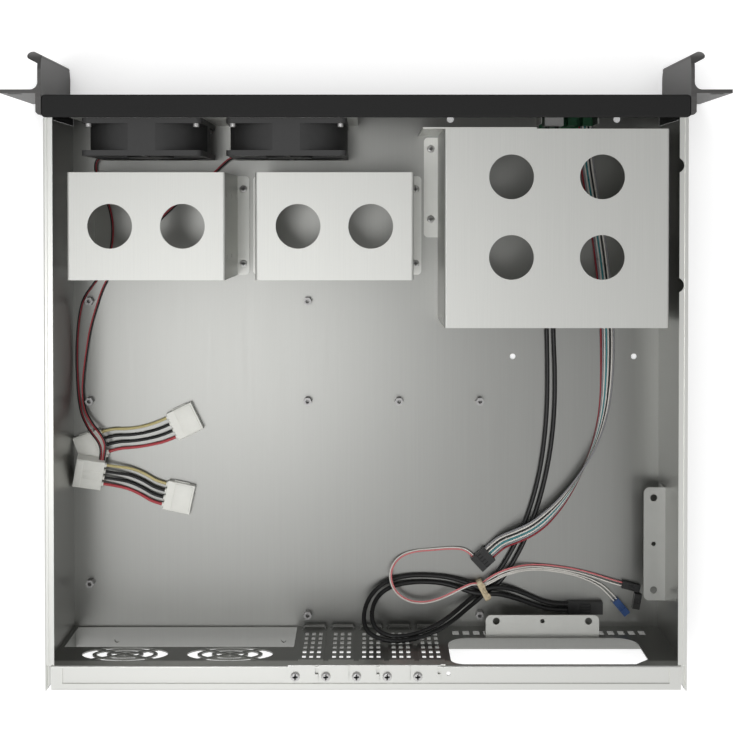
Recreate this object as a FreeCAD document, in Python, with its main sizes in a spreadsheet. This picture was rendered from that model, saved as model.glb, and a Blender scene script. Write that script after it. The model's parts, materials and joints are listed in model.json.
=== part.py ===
"""Empty two-unit rack-mount server case with its lid off, and its loose leads.

Frame: the origin is the middle of the tray's underside, +Z is up, the front bezel faces -Y, and +X is to
the right of somebody who looks at the front. All lengths are millimetres.

The driving sizes live in the spreadsheet "sizes". A Size carries a number together with the formula that
produced it, so the same line of Python gives a sketch its first guess and binds it to the sheet.
"""
import FreeCAD, Part
import math
import os
import Sketcher

Vector = FreeCAD.Vector
Rotation = FreeCAD.Rotation

DRIVING_SIZES = {
    # tray: floor, side walls and rims, folded from one sheet
    "case_width": 426.0,
    "case_depth": 380.0,
    "case_height": 87.0,
    "sheet": 1.0,
    "bend": 1.5,
    "rim_width": 6.0,
    "rim_shoulder": 2.6,
    "rim_drop": 0.8,
    "rim_end_setback": 17.0,
    "rim_notch_radius": 5.0,
    "rim_notch_depth": 3.0,
    "front_floor_reach": 13.0,
    "gap": 0.3,
    # front bezel
    "bezel_overhang": 1.0,
    "bezel_height": 88.0,
    "bezel_depth": 15.0,
    "bezel_wall": 2.0,
    "bezel_corner": 2.6,
    "bay_opening_height": 42.0,
    "bay_opening_drop": 2.7,
    "louvre_width": 3.0,
    "louvre_pitch": 6.0,
    "louvre_height": 62.0,
    "louvre_count": 12.0,
    # rack ears, one extrusion each with its pull handle
    "ear_reach": 27.3,
    "ear_thickness": 2.4,
    "ear_front_step": 3.3,
    "web_thickness": 3.6,
    "web_length": 13.2,
    "grip_thickness": 2.3,
    "grip_reach": 21.0,
    "hook_thickness": 6.0,
    "hook_reach": 9.5,
    "hook_angle": 27.5,
    "grip_corner": 14.0,
    "rack_slot_inset": 8.75,
    "rack_slot_pitch": 76.2,
    "rack_slot_width": 10.0,
    "rack_slot_height": 6.8,
    "ear_fillet": 5.0,
    # eighty millimetre fans
    "fan_size": 80.0,
    "fan_depth": 25.0,
    "fan_flange": 3.6,
    "fan_bore": 76.5,
    "fan_barrel": 82.0,
    "fan_corner": 4.0,
    "fan_screw_pitch": 71.5,
    "fan_screw_hole": 4.3,
    "fan_hub": 32.0,
    "fan_hub_plate": 3.0,
    "fan_strut": 3.0,
    "fan_tip_gap": 1.0,
    "shaft": 3.0,
    "blade_thickness": 1.6,
    "blade_angle": 38.0,
    "fan_1_inset": 64.4,
    "fan_2_inset": 160.2,
    "fan_rise": 3.0,
    "fan_plate_margin": 7.0,
    # pressed finger guard in the fan plate
    "guard_slot": 4.6,
    "guard_pitch": 7.6,
    "guard_spoke": 3.0,
    # drive cages
    "drive_cage_width": 104.6,
    "drive_cage_length": 71.3,
    "drive_cage_setback": 71.8,
    "drive_cage_1_inset": 67.7,
    "drive_cage_2_inset": 192.1,
    "drive_foot": 8.5,
    "cage_top": 86.0,
    "cage_hole": 29.6,
    "cage_hole_pitch": 48.0,
    "bay_cage_width": 148.7,
    "bay_cage_length": 131.7,
    "bay_cage_inset": 86.95,
    "bay_cage_setback": 73.25,
    "bay_foot": 10.0,
    "bay_foot_length": 72.0,
    "bay_hole_pitch_x": 60.0,
    "bay_hole_pitch_y": 53.2,
    "bay_hole_shift": 7.5,
    "bay_flange": 14.1,
    "bay_lip_length": 61.0,
    "drive_screw_hole": 3.6,
    # rear panel
    "ledge_depth": 16.7,
    "ledge_drop": 0.8,
    "ledge_side_gap": 2.9,
    "recess_depth": 1.0,
    "recess_length": 10.3,
    "recess_inset": 1.9,
    "recess_end": 8.4,
    "rear_lip": 8.0,
    "rear_foot": 14.0,
    "io_width": 158.75,
    "io_height": 44.45,
    "io_sill": 2.2,
    "io_inset": 83.6,
    "vent_half_width": 29.2,
    "vent_half_height": 14.2,
    "vent_z": 62.3,
    "vent_slot": 3.4,
    "vent_bar": 2.2,
    "vent_1_inset": 48.8,
    "vent_2_inset": 120.3,
    "psu_width": 132.8,
    "psu_inset": 89.6,
    "psu_sill": 28.0,
    "psu_top": 83.5,
    "psu_corner": 15.0,
    "psu_top_corner": 9.0,
    "psu_chamfer": 10.0,
    "row_slot_width": 4.7,
    "row_slot_height": 8.5,
    "row_slot_pitch": 7.4,
    "row_slot_z": 16.5,
    # slot covers
    "slot_pitch": 20.32,
    "cover_inset": 175.9,
    "cover_width": 17.0,
    "cover_thickness": 0.86,
    "cover_bottom": 7.8,
    "cover_taper": 2.0,
    "cover_taper_height": 5.3,
    "loop_width": 18.0,
    "loop_depth": 3.0,
    "loop_taper": 1.8,
    "loop_height": 3.6,
    "loop_overlap": 1.0,
    "tab_shift": 4.7,
    "tab_length": 11.8,
    "tab_notch_length": 6.4,
    "tab_notch_width": 2.0,
    "cover_screw_inset": 5.0,
    "cover_screw_y": 6.9,
    "perf_width": 2.6,
    "perf_height": 5.8,
    "perf_pitch_x": 4.9,
    "perf_pitch_z": 9.6,
    "perf_z": 22.0,
    "cover_opening": 13.4,
    "cover_opening_bottom": 14.5,
    "cover_opening_top": 79.5,
    # fasteners
    "pan_head": 6.2,
    "pan_head_height": 2.0,
    "pan_shank": 3.0,
    "screw_length": 5.0,
    "small_head": 5.4,
    "small_head_height": 1.4,
    "rivet_head": 6.0,
    "rivet_height": 1.2,
    # motherboard standoffs, in the usual hole pattern
    "standoff_height": 6.5,
    "standoff_flats": 5.4,
    "standoff_bore": 2.7,
    "board_inset": 13.2,
    "board_setback": 26.2,
    "board_column_2": 157.48,
    "board_column_3": 223.52,
    "board_column_4": 281.94,
    "board_row_2": 22.86,
    "board_row_3": 154.94,
    "board_row_4": 227.33,
    # power-supply shelf brackets
    "shelf_length": 80.4,
    "shelf_depth": 15.3,
    "shelf_top": 25.0,
    "shelf_leg": 11.0,
    "shelf_corner": 4.0,
    "shelf_hole": 5.0,
    "shelf_mid_hole": 3.2,
    "shelf_hole_pitch": 32.7,
    "shelf_hole_inset": 11.0,
    "rear_shelf_inset": 88.0,
    "side_shelf_setback": 82.7,
    # front switch and port group
    "io_bracket_inset": 69.8,
    "io_bracket_width": 41.0,
    "io_bracket_height": 27.0,
    "io_board_rise": 5.0,
    "io_board_thickness": 1.6,
    "usb_inset": 80.3,
    "usb_width": 13.2,
    "usb_height": 15.6,
    "usb_depth": 14.0,
    "usb_port_width": 12.2,
    "usb_port_height": 5.2,
    "usb_port_depth": 9.0,
    "usb_port_pitch": 7.8,
    "switch_z": 19.0,
    "power_inset": 56.6,
    "power_cap": 9.0,
    "reset_inset": 67.0,
    "reset_cap": 5.0,
    "cap_proud": 1.4,
    "cap_collar": 1.2,
    "lamp_diameter": 3.0,
    "lamp_pitch": 5.0,
    "lamp_inset": 67.0,
    "lamp_z": 11.2,
    # plugs
    "plug_length": 19.5,
    "plug_width": 21.2,
    "plug_thickness": 6.3,
    "shell_length": 20.0,
    "shell_width": 22.5,
    "shell_thickness": 8.2,
    "plug_pin": 2.6,
    "plug_pin_pitch": 5.08,
    "plug_pin_depth": 12.0,
    "tie_opening": 14.2,
    "tie_height": 9.8,
    "tie_strip": 0.8,
    "tie_width": 2.2,
    # leads
    "jumper_wire": 2.1,
    "usb_cable": 3.2,
    "fan_lead": 2.0,
    "ribbon": 4.0,
    "thin_lead": 1.6,
}


# ---------------------------------------------------------------- document, sheet and formulas

doc = FreeCAD.newDocument("rack_case")
sheet = doc.addObject("Spreadsheet::Sheet", "sizes")
for row, (alias, number) in enumerate(DRIVING_SIZES.items(), 1):
    sheet.set(f"A{row}", alias)
    sheet.set(f"B{row}", str(number))
    sheet.setAlias(f"B{row}", alias)
doc.recompute()


class Size:
    """A length that knows its value now and the sheet formula that gives it."""

    def __init__(self, number, text):
        self.number = float(number)
        self.text = text

    @staticmethod
    def of(value):
        return value if isinstance(value, Size) else Size(value, repr(float(value)))

    def joined(self, other, sign, number):
        return Size(number, f"({self.text} {sign} {other.text})")

    def __add__(self, other):
        other = Size.of(other)
        return self.joined(other, "+", self.number + other.number)

    def __radd__(self, other):
        return Size.of(other) + self

    def __sub__(self, other):
        other = Size.of(other)
        return self.joined(other, "-", self.number - other.number)

    def __rsub__(self, other):
        return Size.of(other) - self

    def __mul__(self, other):
        other = Size.of(other)
        return self.joined(other, "*", self.number * other.number)

    def __rmul__(self, other):
        return Size.of(other) * self

    def __truediv__(self, other):
        other = Size.of(other)
        return self.joined(other, "/", self.number / other.number)

    def __neg__(self):
        return Size(-self.number, f"(0 - {self.text})")


class Sizes:
    """Gives each cell of the sheet as a Size: sizes.case_width, sizes.sheet and so on."""

    def __getattr__(self, alias):
        return Size(sheet.get(alias), f"sizes.{alias}")


sizes = Sizes()


def bind(thing, name, size):
    """Gives a property its value and ties it to the sheet."""
    size = Size.of(size)
    thing.setExpression(name, size.text)


def side_cos(angle):
    """Cosine of an angle that is a cell in degrees."""
    return Size(math.cos(math.radians(angle.number)), f"cos({angle.text} * 1deg)")


def side_sin(angle):
    """Sine of an angle that is a cell in degrees."""
    return Size(math.sin(math.radians(angle.number)), f"sin({angle.text} * 1deg)")


# ---------------------------------------------------------------- sketches and features

# The direction in which a pad without reversal grows on each plane: XY up, XZ towards the front,
# YZ to the right.


def new_body(label):
    body = doc.addObject("PartDesign::Body", label)
    body.Label = label
    return body


def new_sketch(body, plane, offset=0.0):
    """A sketch on one of the body's own planes, moved along the plane's normal by offset."""
    sketch = body.newObject("Sketcher::SketchObject", f"{body.Label}_sketch")
    support = [feature for feature in body.Origin.OriginFeatures if feature.Role == plane][0]
    sketch.AttachmentSupport = [(support, "")]
    sketch.MapMode = "FlatFace"
    bind(sketch, ".AttachmentOffset.Base.z", offset)
    return sketch


def held_at(element, corner, x, y):
    """The two constraints that hold a point of a sketch at (x, y), each with its Size."""
    return [(Sketcher.Constraint(kind, -1, 1, element, corner, size.number), size)
            for kind, size in (("DistanceX", x), ("DistanceY", y))]


def add_bound(sketch, constraints):
    """Adds constraints all at once, then ties each to the formula of its Size."""
    numbers = sketch.addConstraint([constraint for constraint, _ in constraints])
    for number, (_, size) in zip(numbers, constraints):
        bind(sketch, f"Constraints[{number}]", size)


def draw_polygon(sketch, points):
    """A closed outline of straight edges through the points, each tied to the sheet."""
    points = [(Size.of(x), Size.of(y)) for x, y in points]
    first, count = sketch.GeometryCount, len(points)
    places = [Vector(x.number, y.number, 0) for x, y in points]
    sketch.addGeometry([Part.LineSegment(start, end) for start, end in zip(places, places[1:] + places[:1])])
    sketch.addConstraint([Sketcher.Constraint("Coincident", first + index, 2, first + (index + 1) % count, 1)
                          for index in range(count)])
    held = [held_at(first + index, 1, x, y) for index, (x, y) in enumerate(points)]
    add_bound(sketch, sum(held, []))


def draw_rectangle(sketch, left, right, bottom, top):
    draw_polygon(sketch, [(left, bottom), (right, bottom), (right, top), (left, top)])


def draw_centred(sketch, x, y, width, height):
    draw_rectangle(sketch, x - width / 2, x + width / 2, y - height / 2, y + height / 2)


def draw_circle(sketch, x, y, diameter):
    x, y, diameter = Size.of(x), Size.of(y), Size.of(diameter)
    centre = Vector(x.number, y.number, 0)
    circle = sketch.addGeometry(Part.Circle(centre, Vector(0, 0, 1), diameter.number / 2))
    across = Sketcher.Constraint("Diameter", circle, diameter.number)
    add_bound(sketch, held_at(circle, 3, x, y) + [(across, diameter)])


def pad(body, sketch, length, reverse=False, middle=False):
    """Grows the sketch by length, and makes sure that the body gained volume."""
    before = body.Shape.Volume if body.Tip else 0.0
    feature = body.newObject("PartDesign::Pad", f"{body.Label}_pad")
    feature.Profile = sketch
    feature.Reversed = reverse
    feature.Midplane = middle
    bind(feature, "Length", length)
    doc.recompute()
    if body.Shape.Volume <= before:
        raise RuntimeError(f"{body.Label}: a pad added nothing")
    return feature


def pocket(body, sketch, length, reverse=False, middle=False):
    """Cuts the sketch to length, and makes sure that the body lost volume."""
    before = body.Shape.Volume
    feature = body.newObject("PartDesign::Pocket", f"{body.Label}_pocket")
    feature.Profile = sketch
    feature.Reversed = reverse
    feature.Midplane = middle
    bind(feature, "Length", length)
    doc.recompute()
    if body.Shape.Volume >= before - 1e-6:
        raise RuntimeError(f"{body.Label}: a pocket cut nothing")
    return feature


def middle_of(edge):
    return edge.valueAt((edge.FirstParameter + edge.LastParameter) / 2)


def runs_along(edge, axis):
    """True where a straight edge lies along the axis, 0 for X, 1 for Y and 2 for Z."""
    if len(edge.Vertexes) < 2 or not isinstance(edge.Curve, Part.Line):
        return False
    return abs(edge.Curve.Direction[axis]) > 0.999


def near(value, size):
    return abs(value - Size.of(size).number) < 0.01


def chosen_edges(body, wanted):
    names = [f"Edge{number}" for number, edge in enumerate(body.Tip.Shape.Edges, 1) if wanted(edge)]
    if not names:
        raise RuntimeError(f"{body.Label}: no edge was chosen")
    return names


def round_edges(body, radius, wanted):
    """Rounds every edge of the body for which wanted(edge) is true."""
    base = (body.Tip, chosen_edges(body, wanted))
    feature = body.newObject("PartDesign::Fillet", f"{body.Label}_fillet")
    feature.Base = base
    bind(feature, "Radius", radius)
    doc.recompute()
    if feature.Shape.isNull() or not feature.Shape.isValid():
        raise RuntimeError(f"{body.Label}: a rounding failed")
    return feature


def bevel_edges(body, size, wanted):
    base = (body.Tip, chosen_edges(body, wanted))
    feature = body.newObject("PartDesign::Chamfer", f"{body.Label}_chamfer")
    feature.Base = base
    bind(feature, "Size", size)
    doc.recompute()
    return feature


def repeat(body, feature, axis, pitch, count):
    """Repeats a feature count times along one of the body's axes, towards its positive end."""
    pattern = body.newObject("PartDesign::LinearPattern", f"{body.Label}_row")
    direction = [item for item in body.Origin.OriginFeatures if item.Role == axis][0]
    pattern.Originals = [feature]
    pattern.Direction = (direction, [""])
    bind(pattern, "Length", pitch * (count - 1))
    pattern.Occurrences = count
    body.Tip = pattern
    doc.recompute()
    return pattern


# ---------------------------------------------------------------- round parts and groups

def place(thing, x, y, z, rotation=None):
    """Puts a Part primitive at (x, y, z), tied to the sheet, turned by rotation."""
    if rotation is not None:
        thing.Placement = FreeCAD.Placement(Vector(), rotation)
    for axis, size in zip("xyz", (x, y, z)):
        bind(thing, f".Placement.Base.{axis}", size)
    return thing


def rod(name, diameter, length):
    """A cylinder that grows along +Z."""
    cylinder = doc.addObject("Part::Cylinder", name)
    bind(cylinder, "Radius", Size.of(diameter) / 2)
    bind(cylinder, "Height", length)
    return cylinder


def joined(label, members):
    union = doc.addObject("Part::MultiFuse", label)
    union.Shapes = members
    union.Label = label
    return union


def without(label, base, tool):
    difference = doc.addObject("Part::Cut", label)
    difference.Base = base
    difference.Tool = tool
    difference.Label = label
    return difference


def group(label, members):
    """Several like solids that share one node."""
    compound = doc.addObject("Part::Compound", label)
    compound.Links = members
    compound.Label = label
    return compound


TOWARDS = {
    "up": Rotation(),
    "down": Rotation(Vector(1, 0, 0), 180),
    "front": Rotation(Vector(1, 0, 0), 90),
    "rear": Rotation(Vector(1, 0, 0), -90),
    "right": Rotation(Vector(0, 1, 0), 90),
    "left": Rotation(Vector(0, 1, 0), -90),
}


def pan_screw(name, x, y, z, facing, head, head_height, shank, shank_length):
    """A pan-head screw: its seat is at (x, y, z) and its head points to facing."""
    top = rod(f"{name}_head", head, head_height)
    stem = rod(f"{name}_shank", shank, shank_length)
    bind(stem, ".Placement.Base.z", -Size.of(shank_length) + 0.2)
    screw = joined(name, [top, stem])
    return place(screw, x, y, z, TOWARDS[facing])


# ---------------------------------------------------------------- derived places

half_width = sizes.case_width / 2
half_depth = sizes.case_depth / 2
inner_half = half_width - sizes.sheet
front_y = -half_depth
rear_y = half_depth
bezel_front_y = front_y - sizes.bezel_depth
floor_top = sizes.sheet
rim_under = sizes.case_height - sizes.rim_drop
ledge_top = sizes.case_height - sizes.ledge_drop
ledge_under = ledge_top - sizes.sheet
wall_in_y = rear_y - sizes.ledge_depth
wall_out_y = wall_in_y + sizes.sheet
blade_in_y = wall_in_y - sizes.cover_thickness
tab_top = ledge_top + sizes.cover_thickness
cover_screw_place_y = wall_in_y + sizes.cover_screw_y
fan_middle_z = floor_top + sizes.fan_rise + sizes.fan_size / 2
fan_back_y = front_y + sizes.fan_depth
fan_1_x = half_width - sizes.fan_1_inset
fan_2_x = half_width - sizes.fan_2_inset
drive_cage_1_x = half_width - sizes.drive_cage_1_inset
drive_cage_2_x = half_width - sizes.drive_cage_2_inset
drive_cage_y = front_y + sizes.drive_cage_setback
bay_cage_x = sizes.bay_cage_inset - half_width
bay_cage_y = front_y + sizes.bay_cage_setback
io_x = half_width - sizes.io_inset
vent_1_x = half_width - sizes.vent_1_inset
vent_2_x = half_width - sizes.vent_2_inset
psu_x = sizes.psu_inset - half_width
first_cover_x = half_width - sizes.cover_inset
board_x = half_width - sizes.board_inset
board_y = rear_y - sizes.board_setback
rear_shelf_x = sizes.rear_shelf_inset - half_width
side_shelf_y = rear_y - sizes.side_shelf_setback
io_bracket_x = sizes.io_bracket_inset - half_width
usb_x = sizes.usb_inset - half_width
power_x = sizes.power_inset - half_width
reset_x = sizes.reset_inset - half_width
first_lamp_x = sizes.lamp_inset - half_width
bezel_width = sizes.case_width + 2 * sizes.bezel_overhang
ear_end = bezel_width / 2 + sizes.ear_reach
io_left = io_x - sizes.io_width / 2
io_right = io_x + sizes.io_width / 2
board_top = floor_top + sizes.sheet + sizes.io_board_rise + sizes.io_board_thickness
parts = []


def keep(thing):
    """Marks a finished sub-part, whose Label names its file."""
    parts.append(thing)
    return thing


# ---------------------------------------------------------------- tray

def make_tray():
    """Floor, side walls and stepped rims in one folded sheet."""
    body = new_body("chassis_tray")
    sketch = new_sketch(body, "XZ_Plane")
    rim_in = half_width - sizes.rim_width
    shoulder = half_width - sizes.rim_shoulder
    right = [
        (half_width, 0),
        (half_width, sizes.case_height),
        (shoulder, sizes.case_height),
        (shoulder, rim_under),
        (rim_in, rim_under),
        (rim_in, rim_under - sizes.sheet),
        (inner_half, rim_under - sizes.sheet),
        (inner_half, floor_top),
    ]
    left = [(-x, y) for x, y in reversed(right)]
    draw_polygon(sketch, right + left)
    pad(body, sketch, sizes.case_depth, middle=True)
    round_edges(body, sizes.bend, lambda edge: runs_along(edge, 1)
                and near(middle_of(edge).z, 0))
    round_edges(body, sizes.bend - 0.5, lambda edge: runs_along(edge, 1)
                and near(abs(middle_of(edge).x), half_width)
                and near(middle_of(edge).z, sizes.case_height))

    # the floor runs on under the bezel
    sketch = new_sketch(body, "XY_Plane")
    reach_half = bezel_width / 2 - sizes.bezel_wall - sizes.gap
    draw_rectangle(sketch, -reach_half, reach_half, front_y - sizes.front_floor_reach, front_y + 1)
    pad(body, sketch, sizes.sheet)

    # the rims stop short of the rear ledge, and one of them has two lid notches
    sketch = new_sketch(body, "XY_Plane", sizes.case_height + 1)
    draw_rectangle(sketch, -inner_half, inner_half, rear_y - sizes.rim_end_setback, rear_y + 1)
    notch_x = -rim_in + sizes.rim_notch_radius - sizes.rim_notch_depth
    for notch_y in (-158.4, -79.3):
        draw_circle(sketch, notch_x, notch_y, 2 * sizes.rim_notch_radius)
    pocket(body, sketch, sizes.rim_drop + sizes.sheet + 1.2)

    # through holes of the floor: cage and bezel screws, and the rear foot's fixings
    sketch = new_sketch(body, "XY_Plane")
    bay_left = bay_cage_x + sizes.bay_cage_width / 2
    bay_right = bay_cage_x - sizes.bay_cage_width / 2
    for x, y, diameter in (
        (bay_left - 9.1, front_y - 4.9, 5.0),
        (bay_right + 19.2, front_y - 4.9, 5.0),
        (bay_left - 54.5, -23.2, 4.2),
        (bay_right + 6.4, -23.2, 4.2),
    ):
        draw_circle(sketch, x, y, diameter)
    for x, y in cage_screw_places():
        draw_circle(sketch, x, y, sizes.pan_shank + 0.4)
    pocket(body, sketch, sizes.sheet * 3, middle=True)
    return keep(body)


# ---------------------------------------------------------------- rear panel

def oval_plate(half_long, half_short, depth):
    """An upright oval disc, depth thick along +Y."""
    face = Part.Face(Part.Wire([Part.Ellipse(Vector(), half_long, half_short).toShape()]))
    face.rotate(Vector(), Vector(1, 0, 0), 90)
    return face.extrude(Vector(0, depth, 0))


def make_vent_tool(name, centre_x):
    """Three rings of slots between four spokes, as one cutting solid for an oval vent."""
    half_long, half_short = sizes.vent_half_width.number, sizes.vent_half_height.number
    slot, bar = sizes.vent_slot.number, sizes.vent_bar.number
    depth = 3 * sizes.sheet.number
    stretch = half_long / half_short
    rings = []
    for inset in (0.0, slot + bar * 0.6, 2 * (slot + bar * 0.6)):
        outer = oval_plate(half_long - stretch * inset, half_short - inset, depth)
        hole_short = half_short - inset - slot
        rings.append(outer.cut(oval_plate(stretch * hole_short, hole_short, depth)))
    spokes = []
    for turn in (-27, 27):
        corner = Vector(-1.5 * half_long, -depth / 2, -bar / 2)
        spoke = Part.makeBox(3 * half_long, depth * 2, bar, corner)
        spoke.rotate(Vector(), Vector(0, 1, 0), turn)
        spokes.append(spoke)
    tool = doc.addObject("Part::Feature", name)
    tool.Shape = rings[0].fuse(rings[1:]).cut(spokes)
    start_y = wall_in_y.number - sizes.sheet.number
    tool.Placement = FreeCAD.Placement(Vector(centre_x.number, start_y, sizes.vent_z.number), Rotation())
    return tool


def make_rear_panel():
    """Wall with its openings, ledge with the slot recess, rear lip, foot and side flanges."""
    body = new_body("rear_panel_sheet")
    side = inner_half - 0.01
    # section of wall, ledge and lip: a folded strip
    sketch = new_sketch(body, "YZ_Plane")
    ledge_half = inner_half - sizes.ledge_side_gap
    lip_bottom = ledge_top - sizes.rear_lip
    draw_polygon(sketch, [
        (wall_in_y, floor_top),
        (wall_in_y, ledge_top),
        (rear_y, ledge_top),
        (rear_y, lip_bottom),
        (rear_y - sizes.sheet, lip_bottom),
        (rear_y - sizes.sheet, ledge_under),
        (wall_out_y, ledge_under),
        (wall_out_y, floor_top + sizes.sheet),
        (wall_out_y + sizes.rear_foot, floor_top + sizes.sheet),
        (wall_out_y + sizes.rear_foot, floor_top),
    ])
    pad(body, sketch, 2 * ledge_half, middle=True)
    round_edges(body, sizes.bend - 0.3, lambda edge: runs_along(edge, 0)
                and near(middle_of(edge).z, ledge_top))

    # wall out to the side walls, with a flange on each that takes the rivets
    sketch = new_sketch(body, "XY_Plane", floor_top)
    draw_polygon(sketch, [
        (ledge_half - 1, wall_in_y), (side, wall_in_y), (side, rear_y - 2),
        (side - sizes.sheet, rear_y - 2), (side - sizes.sheet, wall_out_y), (ledge_half - 1, wall_out_y),
    ])
    draw_polygon(sketch, [
        (1 - ledge_half, wall_in_y), (-side, wall_in_y), (-side, rear_y - 2),
        (sizes.sheet - side, rear_y - 2), (sizes.sheet - side, wall_out_y), (1 - ledge_half, wall_out_y),
    ])
    pad(body, sketch, ledge_under - floor_top - 1)

    # long recess of the ledge: a window, and a pan one sheet lower
    recess_half = inner_half - sizes.recess_end - 2
    recess_front = wall_in_y + sizes.recess_inset
    sketch = new_sketch(body, "XY_Plane", ledge_top)
    draw_rectangle(sketch, -recess_half, recess_half, recess_front, recess_front + sizes.recess_length)
    pocket(body, sketch, sizes.recess_depth)
    sketch = new_sketch(body, "XY_Plane", ledge_top - sizes.recess_depth)
    edge = sizes.sheet
    draw_rectangle(sketch, -recess_half - edge, recess_half + edge,
                   recess_front - edge, recess_front + sizes.recess_length + edge)
    pad(body, sketch, sizes.sheet, reverse=True)

    # openings of the wall: board ports, slots, power supply and a row of vents
    sketch = new_sketch(body, "XZ_Plane", -wall_in_y)
    io_bottom = floor_top + sizes.io_sill
    draw_rectangle(sketch, io_left, io_right, io_bottom, io_bottom + sizes.io_height)
    for index in range(5):
        x = first_cover_x - index * sizes.slot_pitch
        draw_rectangle(sketch, x - sizes.cover_opening / 2, x + sizes.cover_opening / 2,
                       sizes.cover_opening_bottom, sizes.cover_opening_top)
    psu_left = psu_x + sizes.psu_width / 2
    psu_right = psu_x - sizes.psu_width / 2
    draw_rectangle(sketch, psu_right, psu_left, sizes.psu_sill, sizes.psu_top)
    pocket(body, sketch, 3 * sizes.sheet, middle=True)
    sketch = new_sketch(body, "XZ_Plane", -wall_in_y)
    first_x = psu_right - 7.4
    draw_centred(sketch, first_x, sizes.row_slot_z, sizes.row_slot_width, sizes.row_slot_height)
    slot = pocket(body, sketch, 3 * sizes.sheet, middle=True)
    repeat(body, slot, "X_Axis", sizes.row_slot_pitch, 19)

    def psu_edge(x, z):
        return lambda edge: (runs_along(edge, 1) and near(middle_of(edge).x, x)
                             and near(middle_of(edge).z, z))
    round_edges(body, sizes.psu_corner, psu_edge(psu_left, sizes.psu_sill))
    round_edges(body, sizes.psu_corner, psu_edge(psu_right, sizes.psu_sill))
    round_edges(body, sizes.psu_top_corner, psu_edge(psu_left, sizes.psu_top))
    bevel_edges(body, sizes.psu_chamfer, psu_edge(psu_right, sizes.psu_top))

    # a pressed loop under each slot, which holds the cover's tongue
    loop_top = sizes.cover_bottom + sizes.loop_overlap
    sketch = new_sketch(body, "XY_Plane", loop_top)
    half, taper, wall = sizes.loop_width / 2, sizes.loop_taper, sizes.sheet
    front = wall_in_y - sizes.loop_depth
    for index in range(5):
        x = first_cover_x - index * sizes.slot_pitch
        inner = half - wall * 1.2
        draw_polygon(sketch, [
            (x - half, wall_in_y), (x - half + taper, front), (x + half - taper, front), (x + half, wall_in_y),
            (x + inner, wall_in_y), (x + inner - taper * 0.6, front + wall),
            (x - inner + taper * 0.6, front + wall), (x - inner, wall_in_y),
        ])
    pad(body, sketch, sizes.loop_height, reverse=True)

    # threaded holes of the ledge, one to a cover and a spare, and the holes of the foot
    sketch = new_sketch(body, "XY_Plane", ledge_top)
    for index in range(5):
        draw_circle(sketch, cover_screw_x(index), cover_screw_place_y, sizes.pan_shank + 0.2)
    spare_x = cover_screw_x(4) - 20.4
    draw_circle(sketch, spare_x, cover_screw_place_y - 1.2, 2.8)
    pocket(body, sketch, 3 * sizes.sheet)
    sketch = new_sketch(body, "XY_Plane", floor_top)
    foot_hole_y = wall_out_y + sizes.rear_foot * 0.62
    for inset in (32.0, 153.0):
        draw_circle(sketch, half_width - inset, foot_hole_y, 3.8)
    pocket(body, sketch, 4 * sizes.sheet, middle=True)

    tools = [make_vent_tool("vent_1_tool", vent_1_x), make_vent_tool("vent_2_tool", vent_2_x)]
    vents = group("vent_tools", tools)
    return keep(without("rear_panel", body, vents))


def cover_screw_x(index):
    tab_left = first_cover_x + sizes.tab_shift + sizes.slot_pitch / 2
    return tab_left - sizes.cover_screw_inset - index * sizes.slot_pitch


def make_slot_cover(index):
    """A blank expansion-slot bracket: vented blade with a tapered tongue, and a screw tab."""
    body = new_body(f"slot_cover_{index + 1}")
    x = first_cover_x - index * sizes.slot_pitch
    half = sizes.cover_width / 2
    shoulder_z = sizes.cover_bottom + sizes.cover_taper_height
    sketch = new_sketch(body, "XZ_Plane", -blade_in_y)
    tab_left = x + sizes.tab_shift + sizes.slot_pitch / 2 - sizes.gap / 2
    tab_right = tab_left - sizes.slot_pitch + sizes.gap
    ear_top = ledge_top - sizes.gap
    draw_polygon(sketch, [
        (tab_right, tab_top), (tab_right, ear_top), (x - half, ear_top), (x - half, shoulder_z),
        (x - half + sizes.cover_taper, sizes.cover_bottom), (x + half - sizes.cover_taper, sizes.cover_bottom),
        (x + half, shoulder_z), (x + half, tab_top),
    ])
    pad(body, sketch, sizes.cover_thickness, reverse=True)
    tab_rear = blade_in_y + sizes.tab_length
    sketch = new_sketch(body, "XY_Plane", ledge_top)
    notch_x = tab_right + sizes.tab_notch_width
    notch_y = blade_in_y + sizes.tab_notch_length
    outline = [(tab_left, blade_in_y), (tab_left, tab_rear), (tab_right, tab_rear)]
    if index % 2 == 0:
        outline += [(tab_right, notch_y), (notch_x, notch_y), (notch_x, blade_in_y)]
    else:
        outline += [(tab_right, blade_in_y)]
    draw_polygon(sketch, outline)
    pad(body, sketch, sizes.cover_thickness)

    sketch = new_sketch(body, "XY_Plane", ledge_top)
    draw_circle(sketch, cover_screw_x(index), cover_screw_place_y, sizes.pan_shank + 0.6)
    pocket(body, sketch, 3 * sizes.cover_thickness, middle=True)

    round_edges(body, 0.6, lambda edge: runs_along(edge, 0)
                and near(middle_of(edge).y, blade_in_y) and near(middle_of(edge).z, tab_top))
    sketch = new_sketch(body, "XZ_Plane", -blade_in_y)
    for column in (-1, 0, 1):
        draw_centred(sketch, x + column * sizes.perf_pitch_x, sizes.perf_z, sizes.perf_width, sizes.perf_height)
    row = pocket(body, sketch, 4 * sizes.cover_thickness, middle=True)
    repeat(body, row, "Z_Axis", sizes.perf_pitch_z, 6)
    return keep(body)


def make_slot_screws():
    screws = [
        pan_screw(f"slot_screw_{index + 1}", cover_screw_x(index), cover_screw_place_y, tab_top, "up",
                  sizes.pan_head, sizes.pan_head_height, sizes.pan_shank, sizes.screw_length)
        for index in range(5)
    ]
    return keep(group("slot_screws", screws))


# ---------------------------------------------------------------- bezel, fan plate and ears

EAR_SCREW_LEVELS = (20.0, 68.0)
EAR_SCREW_SETBACK = 7.0


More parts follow.
